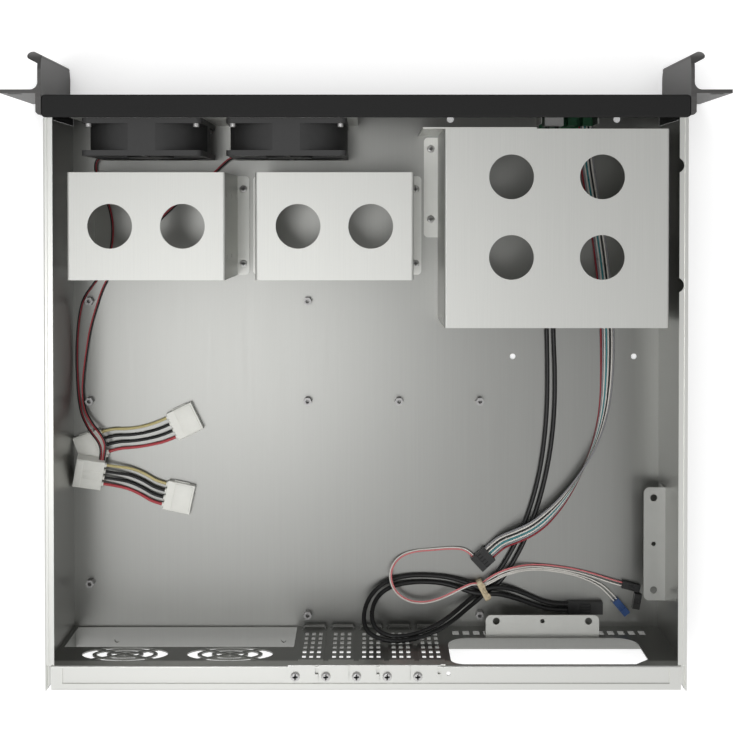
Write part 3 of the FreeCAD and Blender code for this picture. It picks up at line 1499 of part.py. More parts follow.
def make_tie():
    """The strip that is twisted round the bundle, as a flat loop that stands on the floor."""
    body = new_body("cable_tie")
    half, height, strip = sizes.tie_opening / 2, sizes.tie_height, sizes.tie_strip
    sketch = new_sketch(body, "XZ_Plane")
    draw_rectangle(sketch, -half - strip, half + strip, 0, height)
    pad(body, sketch, sizes.tie_width, middle=True)
    round_edges(body, 2.4, lambda edge: runs_along(edge, 1))
    sketch = new_sketch(body, "XZ_Plane")
    draw_rectangle(sketch, -half, half, strip, height - strip)
    pocket(body, sketch, sizes.tie_width + 2, middle=True)
    place_at = Vector(TIE_MIDDLE[0], TIE_MIDDLE[1], floor_top.number)
    body.Placement = FreeCAD.Placement(place_at, Rotation(Vector(0, 0, 1), TIE_TURN))
    return keep(body)


TIE_MIDDLE = (-84.7, 145.2)
TIE_TURN = 118.0


def at_tie(across, z):
    """A point in the tie's opening, across millimetres from its middle."""
    turn = math.radians(TIE_TURN)
    return (TIE_MIDDLE[0] + across * math.cos(turn), TIE_MIDDLE[1] + across * math.sin(turn), z)


def cord_path(points):
    """Straight runs joined by tangent arcs that are as large as their runs allow."""
    corners = [Vector(*point) for point in points]
    edges, radii = [], []
    start = corners[0]
    for before, corner, after in zip(corners, corners[1:], corners[2:]):
        come, leave = (corner - before), (after - corner)
        turn = come.getAngle(leave)
        reach = 0.45 * min(come.Length, leave.Length)
        radii.append(reach / math.tan(turn / 2))
        come.normalize()
        leave.normalize()
        arc_start, arc_end = corner - come * reach, corner + leave * reach
        inward = (leave - come).normalize()
        centre = corner + inward * (radii[-1] / math.cos(turn / 2))
        arc_middle = centre - inward * radii[-1]
        edges.append(Part.LineSegment(start, arc_start).toShape())
        edges.append(Part.Arc(arc_start, arc_middle, arc_end).toShape())
        start = arc_end
    edges.append(Part.LineSegment(start, corners[-1]).toShape())
    return Part.Wire(edges), radii


def make_cord(label, diameter, points):
    """A lead of round section along its route."""
    path, radii = cord_path(points)
    width = diameter.number
    heading = Vector(*points[1]) - Vector(*points[0])
    ring = Part.Wire([Part.Circle(Vector(*points[0]), heading, width / 2).toShape()])
    tube = path.makePipeShell([ring], True, False)
    expected = math.pi * width ** 2 / 4 * path.Length
    print(f"{label} {[tuple(round(value, 2) for value in point) for point in points]}")
    print(f"{label}: length {path.Length:.1f}, tightest radius {min(radii) / width:.1f} diameters, "
          f"volume {tube.Volume / expected:.4f} of its section times its length")
    cord = doc.addObject("Part::Feature", label)
    cord.Shape = tube
    cord.Label = label
    return keep(cord)


def make_jumpers(number, start_plug, end_plug, bows):
    """Four short wires that join two power plugs, each with a bow of its own."""
    starts = wire_places(start_plug, 8.0)
    ends = list(reversed(wire_places(end_plug, 8.0)))
    low = floor_top.number + sizes.jumper_wire.number / 2 + 0.3
    for colour, start, end, bow in zip(("yellow", "black_1", "black_2", "red"), starts, ends, bows):
        run = end[1] - start[1]
        sideways = Vector(-run.y, run.x, 0).normalize() * bow
        route = [start[0], start[1]]
        for share in (0.34, 0.67):
            middle = start[1] + run * share + sideways * (1.0 if share < 0.5 else 0.9)
            route.append(Vector(middle.x, middle.y, max(low, middle.z - 2.6 * (1 - share) - 0.6)))
        route += [end[1], end[0]]
        make_cord(f"jumper_{number}_{colour}", sizes.jumper_wire, route)


# Routes of the leads that are laid by hand, from the fixed end to the free one.
FAN_LEAD_1 = [
    (188.6, -166.8, 8.0), (192.8, -166.8, 8.0), (195.4, -161.0, 5.8), (194.0, -152.0, 2.9), (188.0, -139.0, 2.3),
    (183.2, -122.0, 2.3), (183.6, -104.0, 2.3), (188.6, -88.0, 2.3), (197.0, -76.0, 2.3), (204.6, -66.0, 2.3),
    (207.8, -53.0, 2.3), (209.3, -37.0, 2.3), (209.7, -21.5, 2.3), (209.2, -6.0, 2.4), (208.0, 8.0, 3.2),
    (205.0, 19.4, 6.8), (198.6, 29.0, 11.4), (191.6, 36.4, 14.0),
]
FAN_LEAD_2 = [
    (92.8, -166.8, 8.0), (97.2, -166.8, 8.0), (102.8, -162.4, 5.0), (111.0, -154.5, 2.6), (124.0, -145.0, 2.3),
    (138.0, -133.0, 2.3), (153.0, -118.5, 2.3), (168.0, -103.0, 2.3), (181.0, -88.5, 2.3), (190.0, -74.5, 2.3),
    (194.9, -59.5, 2.3), (199.7, -43.5, 2.3), (202.3, -27.0, 2.3), (204.5, -10.5, 2.4), (205.3, 3.0, 2.6),
    (203.4, 14.6, 5.4), (197.2, 24.0, 10.0), (190.0, 31.4, 13.4), (186.6, 37.6, 14.4),
]
USB_CABLE_1 = [
    (-129.4, -188.7, 12.5), (-129.4, -179.0, 12.5), (-129.8, -166.0, 7.2), (-130.8, -147.0, 3.2),
    (-131.2, -120.0, 2.9), (-130.2, -92.0, 2.9), (-130.0, -65.0, 2.9), (-130.6, -38.0, 2.9),
    (-131.2, -12.0, 2.9), (-130.9, 14.0, 2.9), (-129.0, 38.0, 2.9), (-125.4, 62.0, 2.9), (-119.4, 85.0, 2.9),
    (-111.0, 107.0, 2.9), (-101.0, 125.6, 2.9), (-92.6, 137.2, 3.1), at_tie(-0.4, 3.5),
    (-78.4, 149.8, 4.2), (-71.0, 153.8, 10.4), (-60.4, 159.2, 21.4), (-49.0, 163.8, 30.6), (-35.0, 167.6, 37.4),
    (-21.6, 168.8, 40.4), (-10.6, 167.0, 38.8), (-4.4, 162.0, 32.8), (-3.8, 154.2, 22.8), (-9.1, 146.6, 12.0),
    (-20.4, 141.8, 5.0), (-38.5, 140.0, 3.0), (-54.7, 141.0, 3.0), (-66.0, 143.6, 4.8), (-75.4, 146.8, 7.3),
    at_tie(3.2, 7.5), (-95.4, 147.9, 7.0), (-107.0, 151.4, 4.6), (-119.0, 156.0, 3.0), (-129.5, 159.6, 3.4),
    (-138.5, 160.6, 4.0), (-145.75, 160.6, 4.0),
]
USB_CABLE_2 = [
    (-136.0, -188.7, 12.5), (-136.0, -179.0, 12.5), (-136.0, -166.0, 7.2), (-135.8, -147.0, 3.2),
    (-136.4, -120.0, 2.9), (-135.8, -92.0, 2.9), (-134.9, -65.0, 2.9), (-135.4, -38.0, 2.9),
    (-136.6, -12.0, 2.9), (-136.4, 14.0, 2.9), (-134.4, 38.0, 2.9), (-130.4, 62.0, 2.9), (-124.2, 86.0, 2.9),
    (-115.6, 109.0, 2.9), (-105.4, 128.5, 2.9), (-96.4, 141.2, 3.1), at_tie(3.3, 3.5),
    (-80.8, 153.2, 4.4), (-73.0, 157.2, 11.0), (-62.0, 162.6, 22.6), (-49.6, 167.2, 32.6), (-35.0, 170.0, 40.4),
    (-21.0, 170.6, 44.6), (-8.0, 169.2, 43.0), (0.6, 165.2, 36.4), (2.2, 156.8, 25.4), (-2.4, 147.6, 13.8),
    (-13.0, 139.4, 5.4), (-29.0, 135.6, 3.0), (-46.0, 135.4, 3.0), (-61.0, 137.0, 3.4), (-73.6, 140.2, 6.4),
    at_tie(-0.5, 7.5), (-94.2, 142.6, 7.3), (-105.4, 144.8, 5.4), (-117.4, 149.8, 3.0), (-128.6, 154.8, 3.4),
    (-138.5, 156.6, 4.0), (-145.75, 156.6, 4.0),
]
PANEL_RIBBON = [
    (-156.4, -189.0, 15.0), (-156.4, -178.0, 15.0), (-158.2, -163.0, 9.4), (-162.2, -144.0, 4.2),
    (-166.4, -119.0, 3.2), (-170.4, -92.0, 3.2), (-173.2, -66.0, 3.2), (-174.5, -38.0, 3.2), (-174.3, -12.0, 3.2),
    (-172.3, 14.0, 3.2), (-166.0, 38.0, 3.2), (-155.4, 60.0, 3.2), (-142.8, 79.0, 5.4), (-130.6, 91.5, 10.4),
    (-119.6, 99.6, 12.4), (-108.6, 105.0, 11.0), (-99.6, 109.4, 6.8), (-94.6, 113.58, 4.2), (-89.008, 118.803, 4.2),
]
SWITCH_LEAD = [
    (-77.1, 121.1, 3.6), (-72.8, 116.5, 2.8), (-62.0, 115.8, 1.9), (-48.0, 117.0, 1.9), (-34.6, 118.0, 1.9),
    (-24.0, 121.6, 3.6), (-17.8, 129.0, 8.0), (-17.4, 138.0, 11.2), (-21.8, 146.4, 12.2), (-30.4, 152.2, 11.0),
    (-41.0, 153.8, 10.0), (-51.6, 151.2, 10.6), (-61.0, 146.6, 11.8), (-69.4, 142.0, 12.4), (-77.1, 139.2, 10.6),
    at_tie(-4.1, 6.6), (-89.4, 136.2, 7.2), (-97.6, 131.4, 8.6), (-106.2, 128.9, 8.2), (-116.0, 128.3, 3.8),
    (-127.0, 128.6, 2.0), (-141.0, 130.2, 2.0), (-155.0, 132.8, 2.0), (-168.0, 136.4, 2.6), (-178.4, 139.9, 3.6), (-185.2, 141.6, 3.6),
]
RESET_LEAD = [
    at_tie(-3.7, 9.05), (-90.4, 138.4, 9.6), (-98.4, 133.8, 9.6), (-107.0, 131.4, 8.8), (-116.6, 130.9, 4.2),
    (-127.0, 131.3, 2.0), (-141.0, 132.9, 2.0), (-154.0, 135.9, 2.0), (-165.4, 140.2, 2.6),
    (-174.0, 145.596, 3.6), (-180.4, 153.2, 3.6),
]


def make_plugs_and_leads():
    """Every plug and lead that lies loose in the tray."""
    floor = floor_top.number
    plugs = [
        make_power_plug("power_plug_1", False, (130.8, 22.9, floor), 206.0),
        make_power_plug("power_plug_2", False, (199.0, 42.0, floor), 20.0),
        make_power_plug("power_plug_3", True, (199.8, 58.1, floor + 4.95), -10.0, 9.6, -16.2),
        make_power_plug("power_plug_4", False, (135.2, 78.3, floor), 168.0),
    ]
    make_jumpers(1, plugs[1], plugs[0], (-2.2, -2.0, -1.7, -1.4))
    make_jumpers(2, plugs[2], plugs[3], (2.2, 2.0, 1.8, 1.6))
    keep(make_header_plug("usb_header_plug", -158.4, 158.6, floor, 25.3, 8.9, 6.0, 0.0))
    keep(make_header_plug("panel_plug", -84.4, 123.1, floor, 12.6, 12.8, 6.4, 43.0))
    small = [
        make_header_plug("panel_lead_plug_1", -191.604, 143.197, floor, 13.2, 5.2, 5.2, -14.0),
        make_header_plug("panel_lead_plug_2", -184.65, 158.25, floor, 13.2, 5.2, 5.2, -49.9),
        make_header_plug("panel_lead_plug_3", -196.0, 154.0, floor, 11.0, 5.2, 5.2, 80.0),
    ]
    keep(group("panel_lead_plugs", small))
    make_tie()
    make_cord("fan_lead_1", sizes.fan_lead, FAN_LEAD_1 + side_entry(plugs[2], -6.2))
    make_cord("fan_lead_2", sizes.fan_lead, FAN_LEAD_2 + side_entry(plugs[2], -8.6))
    make_cord("usb_cable_1", sizes.usb_cable, USB_CABLE_1)
    make_cord("usb_cable_2", sizes.usb_cable, USB_CABLE_2)
    make_cord("panel_ribbon", sizes.ribbon, PANEL_RIBBON)
    make_cord("switch_lead", sizes.thin_lead, SWITCH_LEAD)
    make_cord("reset_lead", sizes.thin_lead, RESET_LEAD)


# ---------------------------------------------------------------- build, check and write

def check_parts():
    """Stops the build where a feature failed or a sub-part is not a sound solid."""
    doc.recompute()
    faulty = [thing.Label for thing in doc.Objects if "Invalid" in thing.State or "Error" in thing.State]
    for part in parts:
        if part.Shape.isNull() or not part.Shape.isValid() or not part.Shape.Solids:
            faulty.append(part.Label)
    if faulty:
        raise RuntimeError(f"faulty: {faulty}")


def main():
    make_tray()
    make_rear_panel()
    for index in range(5):
        make_slot_cover(index)
    make_slot_screws()
    make_bezel()
    plate = make_fan_plate()
    guards = [make_guard(f"guard_{number}", fan_x)
              for number, fan_x in enumerate((fan_1_x, fan_2_x), 1)]
    keep(joined("fan_plate_with_guards", [plate] + guards)).Label = "fan_plate"
    make_ear("left", -1)
    make_ear("right", 1)
    keep(group("ear_screws", make_ear_screws()))
    make_bay_cover()
    make_drive_cage(1, drive_cage_1_x)
    make_drive_cage(2, drive_cage_2_x)
    make_bay_cage()
    make_cage_screws()
    for number, fan_x in enumerate((fan_1_x, fan_2_x), 1):
        make_fan_frame(number, fan_x)
        make_rotor(number, fan_x)
    make_fan_screws()
    make_standoffs()
    make_shelf("psu_rear_shelf", False)
    make_shelf("psu_side_shelf", True)
    make_rivets()
    make_io_bracket()
    make_io_board()
    make_usb_ports()
    make_button("power_button", power_x, sizes.power_cap)
    make_button("reset_button", reset_x, sizes.reset_cap)
    make_lamps()
    make_plugs_and_leads()
    check_parts()
    os.makedirs("parts", exist_ok=True)
    for part in parts:
        part.Shape.exportStep(f"parts/{part.Label}.step")
    print(f"{len(parts)} sub-parts")


main()
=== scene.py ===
"""Looks of an open two-unit rack case: sheet-metal finishes, fasteners, plugs, leads and the studio."""
from __future__ import annotations

import json
import logging
import math
from dataclasses import dataclass, field
from enum import Enum

import bmesh
import bpy
from bmesh.types import BMesh, BMVert
from mathutils import Matrix, Quaternion, Vector

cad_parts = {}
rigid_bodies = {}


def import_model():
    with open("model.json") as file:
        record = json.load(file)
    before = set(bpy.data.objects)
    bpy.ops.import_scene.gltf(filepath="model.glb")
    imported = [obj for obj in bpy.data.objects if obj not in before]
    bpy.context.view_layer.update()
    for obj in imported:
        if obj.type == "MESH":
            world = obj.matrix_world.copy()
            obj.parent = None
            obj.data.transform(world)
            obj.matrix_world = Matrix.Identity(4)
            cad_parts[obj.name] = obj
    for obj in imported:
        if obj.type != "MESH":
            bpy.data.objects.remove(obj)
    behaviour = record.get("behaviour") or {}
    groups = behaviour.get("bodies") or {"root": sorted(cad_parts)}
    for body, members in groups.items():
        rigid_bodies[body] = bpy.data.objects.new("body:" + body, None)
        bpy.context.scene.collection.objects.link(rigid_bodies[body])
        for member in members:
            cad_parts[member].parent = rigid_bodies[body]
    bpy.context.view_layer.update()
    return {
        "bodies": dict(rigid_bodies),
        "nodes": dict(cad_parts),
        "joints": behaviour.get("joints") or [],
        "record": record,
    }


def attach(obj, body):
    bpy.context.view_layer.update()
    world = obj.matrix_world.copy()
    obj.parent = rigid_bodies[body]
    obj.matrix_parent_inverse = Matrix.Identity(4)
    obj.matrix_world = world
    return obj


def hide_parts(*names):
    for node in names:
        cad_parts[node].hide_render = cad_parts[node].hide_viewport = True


MM = 0.001
CASE_BODY = "case"
FLOOR_TOP = 1.0     # upper side of the tray's floor, in millimetres
NOISE_LOW, NOISE_HIGH = 0.3, 0.7     # the noise levels between which a grain runs from one end to the other
Point = tuple[float, float, float]
Colour = tuple[float, float, float]

log = logging.getLogger("rack_case")


def grey(level: float, warmth: float = 0.0) -> Colour:
    """Gives a grey of a linear level, a little warmer or cooler."""
    return (level * (1 + warmth), level, level * (1 - warmth))


def zinc(level: float) -> Colour:
    """Gives the faintly yellow-green grey of zinc-plated sheet of a linear level."""
    return (level, level * 1.006, level * 0.965)


def in_metres(points: list[Point]) -> list[Vector]:
    """Turns points in millimetres into vectors in metres."""
    return [Vector(point) * MM for point in points]


def add_node(material: bpy.types.Material | bpy.types.World, kind: str,
             **values: float | Point) -> bpy.types.Node:
    """Adds a shader node and sets some of its sockets.

    Args:
        material: The material or world that receives it.
        kind: The node's type.
        values: Values of its sockets by name, with an underscore for a space.

    Returns:
        The node.
    """
    node = material.node_tree.nodes.new(kind)
    for name, value in values.items():
        node.inputs[name.replace("_", " ")].default_value = value
    return node


# ---------------------------------------------------------------- finishes


class Grain(Enum):
    """How a surface varies from place to place: how far its noise is stretched, in waves a metre."""

    SPANGLE = (55.0, 55.0, 55.0)
    BRUSHED = (1500.0, 14.0, 1500.0)
    ALONG = (12.0, 700.0, 700.0)
    POWDER = (1100.0, 1100.0, 1100.0)
    MOULDED = (240.0, 240.0, 240.0)


@dataclass(frozen=True)
class Finish:
    """A finish of one material: its colour, its gloss and its grain."""

    name: str
    colour: Colour
    roughness: float = 0.5
    metallic: float = 0.0
    specular: float = 0.5
    grain: Grain = Grain.MOULDED
    depth: float = 0.06
    gloss_depth: float = 0.03
    bump: float = 0.0
    # Painted highlight: above this height, in millimetres, the colour turns to the next one, standing in for
    # the light the folded rims and ledge catch.
    highlight_height: float = 0.0
    highlight_colour: Colour = (0.0, 0.0, 0.0)

    def material(self) -> bpy.types.Material:
        """Finds the finish's material, or makes it the first time.

        Returns:
            The node material, with its grain read from Object coordinates.
        """
        known = bpy.data.materials.get(self.name)
        if known is not None:
            return known
        material = bpy.data.materials.new(self.name)
        material.use_nodes = True
        material.diffuse_color = (*self.colour, 1.0)
        shader = material.node_tree.nodes["Principled BSDF"]
        shader.inputs["Metallic"].default_value = self.metallic
        shader.inputs["Specular IOR Level"].default_value = self.specular
        self._add_grain(material, shader)
        return material

    def _add_grain(self, material: bpy.types.Material, shader: bpy.types.Node) -> None:
        """Varies colour, gloss and height over the surface.

        Args:
            material: The material that is being made.
            shader: Its principled shader.
        """
        links = material.node_tree.links
        place = add_node(material, "ShaderNodeTexCoord")
        turn = add_node(material, "ShaderNodeMapping", Scale=self.grain.value)
        noise = add_node(material, "ShaderNodeTexNoise", Scale=1.0, Detail=4.0)
        links.new(place.outputs["Object"], turn.inputs["Vector"])
        links.new(turn.outputs["Vector"], noise.inputs["Vector"])
        colours = add_node(material, "ShaderNodeValToRGB")
        low, high = colours.color_ramp.elements
        low.position, high.position = NOISE_LOW, NOISE_HIGH
        low.color = (*(channel * (1 - self.depth) for channel in self.colour), 1.0)
        high.color = (*(min(1.0, channel * (1 + self.depth)) for channel in self.colour), 1.0)
        links.new(noise.outputs["Fac"], colours.inputs["Fac"])
        shade = colours.outputs["Color"]
        # Paint a highlight on the folded rims and ledge.
        if self.highlight_height:
            shade = self._add_rim_highlight(material, place.outputs["Object"], shade)
        links.new(shade, shader.inputs["Base Color"])
        gloss = add_node(material, "ShaderNodeMapRange", From_Min=NOISE_LOW, From_Max=NOISE_HIGH,
                         To_Min=max(0.05, self.roughness - self.gloss_depth),
                         To_Max=min(1.0, self.roughness + self.gloss_depth))
        links.new(noise.outputs["Fac"], gloss.inputs["Value"])
        links.new(gloss.outputs["Result"], shader.inputs["Roughness"])
        if self.bump:
            bump = add_node(material, "ShaderNodeBump", Strength=self.bump, Distance=0.0002)
            links.new(noise.outputs["Fac"], bump.inputs["Height"])
            links.new(bump.outputs["Normal"], shader.inputs["Normal"])

    def _add_rim_highlight(self, material: bpy.types.Material, place: bpy.types.NodeSocket,
                 shade: bpy.types.NodeSocket) -> bpy.types.NodeSocket:
        """Paints a highlight on the folded rims: above a height the colour turns lighter, standing in for the
        light they catch.

        Args:
            material: The material that is being made.
            place: The object coordinates.
            shade: The colour of the rest.

        Returns:
            The colour with the painted rim highlight in it.
        """
        links, top, fade = material.node_tree.links, self.highlight_height * MM, 0.003
        split = add_node(material, "ShaderNodeSeparateXYZ")
        level = add_node(material, "ShaderNodeMapRange", From_Min=top - fade, From_Max=top)
        blend = add_node(material, "ShaderNodeMix")
        blend.data_type = "RGBA"
        colour_sockets = [socket for socket in blend.inputs if socket.type == "RGBA"]
        colour_sockets[1].default_value = (*self.highlight_colour, 1.0)
        links.new(place, split.inputs["Vector"])
        links.new(split.outputs["Z"], level.inputs["Value"])
        links.new(level.outputs["Result"], blend.inputs["Factor"])
        links.new(shade, colour_sockets[0])
        return [socket for socket in blend.outputs if socket.type == "RGBA"][0]


# The tray and the panel carry a painted highlight on their rims and rear ledge, above the given height.
SHADED_TRAY_ZINC = Finish("tray zinc", zinc(0.38), 0.32, 1.0, grain=Grain.BRUSHED, depth=0.02, gloss_depth=0.012,
                   highlight_height=84.0, highlight_colour=zinc(0.93))
SHADED_PANEL_ZINC = Finish("panel zinc", zinc(0.38), 0.36, 1.0, grain=Grain.BRUSHED, depth=0.02, gloss_depth=0.012,
                    highlight_height=78.0, highlight_colour=zinc(0.93))
# The same zinc plating as the tray and the panel, in a lighter copy: the cages' level stands in for the light
# on their tops, and the darker level of the tray and the panel stands in for the shade inside the case.
LIT_CAGE_ZINC = Finish("cage zinc", zinc(0.80), 0.42, 1.0, grain=Grain.BRUSHED, depth=0.02, gloss_depth=0.015)
SHELF_ZINC = Finish("shelf zinc", zinc(0.70), 0.45, 1.0, grain=Grain.SPANGLE, depth=0.03)
BLACK_COAT = Finish("black powder coat", grey(0.010), 0.5, specular=0.3, grain=Grain.POWDER, depth=0.15,
                    bump=0.25)
DARK_ANODISED = Finish("dark anodised aluminium", grey(0.15, 0.02), 0.4, 0.9, grain=Grain.ALONG, depth=0.1)
FAN_BLACK = Finish("fan plastic", grey(0.028), 0.45, bump=0.05)
ROTOR_BLACK = Finish("rotor plastic", grey(0.035), 0.35, bump=0.05)
PLATED = Finish("bright plating", grey(0.86, 0.01), 0.42, 1.0, grain=Grain.POWDER, depth=0.03)
DULL_PLATED = Finish("dull plating", grey(0.45, 0.01), 0.4, 0.9, grain=Grain.POWDER)
BOARD_GREEN = Finish("board green", (0.01, 0.09, 0.035), 0.4, grain=Grain.POWDER, depth=0.2)
BUTTON_BLACK = Finish("button plastic", grey(0.03), 0.4)
LAMP_CLEAR = Finish("lamp plastic", grey(0.7), 0.15)
WHITE_NYLON = Finish("white nylon", (0.76, 0.76, 0.71), 0.42, depth=0.02, bump=0.04)
BLACK_NYLON = Finish("black nylon", grey(0.018), 0.4, bump=0.05)
BLUE_NYLON = Finish("blue nylon", (0.02, 0.055, 0.16), 0.4, bump=0.05)
TIE_PAPER = Finish("tie paper", (0.55, 0.46, 0.31), 0.8, grain=Grain.POWDER, depth=0.12, bump=0.3)


class Wire(Enum):
    """Colours of insulation."""

    BLACK = (0.012, 0.012, 0.012)
    YELLOW = (0.50, 0.43, 0.20)
    RED = (0.42, 0.05, 0.06)
    DARK_RED = (0.24, 0.018, 0.026)
    PINK = (0.60, 0.17, 0.18)
    WHITE = (0.62, 0.60, 0.56)
    TEAL = (0.04, 0.20, 0.22)
    GREY = (0.22, 0.22, 0.23)

    def finish(self) -> Finish:
        """Gives the insulation's finish."""
        return Finish(f"{self.name.lower().replace('_', ' ')} insulation", self.value, 0.3, bump=0.03)


NODE_FINISHES: dict[str, Finish] = {name: finish for finish, names in (
    (SHADED_TRAY_ZINC, "chassis_tray"),
    (SHADED_PANEL_ZINC, "rear_panel slot_cover_1 slot_cover_2 slot_cover_3 slot_cover_4 slot_cover_5"),
    (LIT_CAGE_ZINC, "bay_cage drive_cage_1 drive_cage_2"),
    (SHELF_ZINC, "fan_plate psu_rear_shelf psu_side_shelf port_bracket"),
    (BLACK_COAT, "front_bezel bay_blank_cover"),
    (DARK_ANODISED, "ear_handle_left ear_handle_right"),
    (FAN_BLACK, "fan_1_frame fan_2_frame"),
    (ROTOR_BLACK, "fan_1_rotor fan_2_rotor"),
    (PLATED, "slot_screws cage_screws fan_screws usb_ports"),
    (DULL_PLATED, "board_standoffs ear_screws panel_rivets"),
    (BOARD_GREEN, "switch_board"),
    (BUTTON_BLACK, "power_button reset_button"),
    (LAMP_CLEAR, "indicator_lamps"),
    (WHITE_NYLON, "power_plug_1 power_plug_2 power_plug_3 power_plug_4"),
    (BLACK_NYLON, "usb_header_plug panel_plug panel_lead_plugs"),
    (TIE_PAPER, "cable_tie"),
) for name in names.split()}


# ---------------------------------------------------------------- mesh helpers


def add_object(name: str, data: bpy.types.ID, *finishes: Finish) -> bpy.types.Object:
    """Links a new object that carries some data and its finishes.

    Args:
        name: The object's name.
        data: Its mesh or curve.
        finishes: The finishes, in the order of the data's material indices.

    Returns:
        The object, at the origin.
    """
    thing = bpy.data.objects.new(name, data)
    bpy.context.collection.objects.link(thing)
    for finish in finishes:
        data.materials.append(finish.material())
    return thing


def mesh_from(name: str, shape: BMesh, crease: float = 35.0) -> bpy.types.Mesh:
    """Writes a bmesh to a new smooth mesh with sharp creases, and frees it.

    Args:
        name: The mesh's name.
        shape: The bmesh.
        crease: The angle in degrees from which an edge stays sharp.

    Returns:
        The mesh.
    """
    bmesh.ops.recalc_face_normals(shape, faces=shape.faces[:])
    for face in shape.faces:
        face.smooth = True
    for edge in shape.edges:
        edge.smooth = len(edge.link_faces) == 2 and edge.calc_face_angle(0.0) < math.radians(crease)
    mesh = bpy.data.meshes.new(name)
    shape.to_mesh(mesh)
    shape.free()
    return mesh


def joined_to(starts: list[BMVert]) -> list[BMVert]:
    """Follows the edges from some vertices, always in the same order.

    Args:
        starts: The vertices to start from.

    Returns:
        These and every vertex that hangs together with them.
    """
    found = list(dict.fromkeys(starts))
    known = set(found)
    for vertex in found:
        for edge in vertex.link_edges:
            other = edge.other_vert(vertex)
            if other not in known:
                known.add(other)
                found.append(other)
    return found


def islands_of(node: bpy.types.Object) -> list[list[Vector]]:
    """Splits a node's mesh into its separate solids.

    Args:
        node: A CAD node, whose own mesh is left alone.

    Returns:
        The points of each solid.
    """
    shape = bmesh.new()
    shape.from_mesh(node.data)
    bmesh.ops.remove_doubles(shape, verts=shape.verts[:], dist=1e-6)
    known, islands = set(), []
    for vertex in shape.verts:
        if vertex not in known:
            island = joined_to([vertex])
            known.update(island)
            islands.append([member.co.copy() for member in island])
    shape.free()
    return islands


def evaluated_mesh(carrier: bpy.types.Object) -> bpy.types.Mesh:
    """Turns a curve's object into a mesh of its own, with its thickness."""
    bpy.context.view_layer.update()
    return bpy.data.meshes.new_from_object(carrier.evaluated_get(bpy.context.evaluated_depsgraph_get()))


def add_block(shape: BMesh, low: Point, high: Point, bevel: float = 0.0) -> None:
    """Adds a block with bevelled edges.

    Args:
        shape: The bmesh that receives it.
        low: Its lowest corner.
        high: Its highest corner.
        bevel: Width of the bevel, or 0.
    """
    middle = (Vector(low) + Vector(high)) / 2
    span = Vector(high) - Vector(low)
    made = bmesh.ops.create_cube(shape, size=1.0, matrix=Matrix.LocRotScale(middle, None, span))["verts"]
    if bevel:
        edges = list(dict.fromkeys(edge for vertex in made for edge in vertex.link_edges))
        bmesh.ops.bevel(shape, geom=edges, offset=bevel, segments=2, profile=0.5, affect="EDGES")


def join_rings(shape: BMesh, rings: list[list[BMVert]]) -> None:
    """Closes the bands between rings of equally many vertices.

    Args:
        shape: The bmesh that holds them.
        rings: The rings in order.
    """
    for ring, following in zip(rings, rings[1:]):
        for index, vertex in enumerate(ring):
            after = (index + 1) % len(ring)
            shape.faces.new((vertex, ring[after], following[after], following[index]))


def add_rod(shape: BMesh, start: Vector, end: Vector, radius: float, sides: int = 16) -> None:
    """Adds a round bar between two points.

    Args:
        shape: The bmesh that receives it.
        start: The middle of one end.
        end: The middle of the other end.
        radius: The bar's radius.
        sides: Number of its sides.
    """
    run = end - start
    turn = run.to_track_quat("Z", "Y").to_matrix().to_4x4()
    bmesh.ops.create_cone(shape, cap_ends=True, segments=sides, radius1=radius, radius2=radius,
                          depth=run.length, matrix=Matrix.Translation((start + end) / 2) @ turn)


# ---------------------------------------------------------------- fasteners

# The domed edge of a screw's head, from its side to its flat top, as shares of the head's radius and height.
DOME = ((1.0, 0.62), (0.96, 0.34), (0.86, 0.12), (0.72, 0.0))


def spread_round(points: list[Vector], centre: Vector, facing: Vector) -> float:
    """Finds how far some points lie from an axis.

    Args:
        points: The points.
        centre: A point on the axis.
        facing: The axis' direction.

    Returns:
        The largest distance.
    """
    return max((point - centre - facing * (point - centre).dot(facing)).length for point in points)


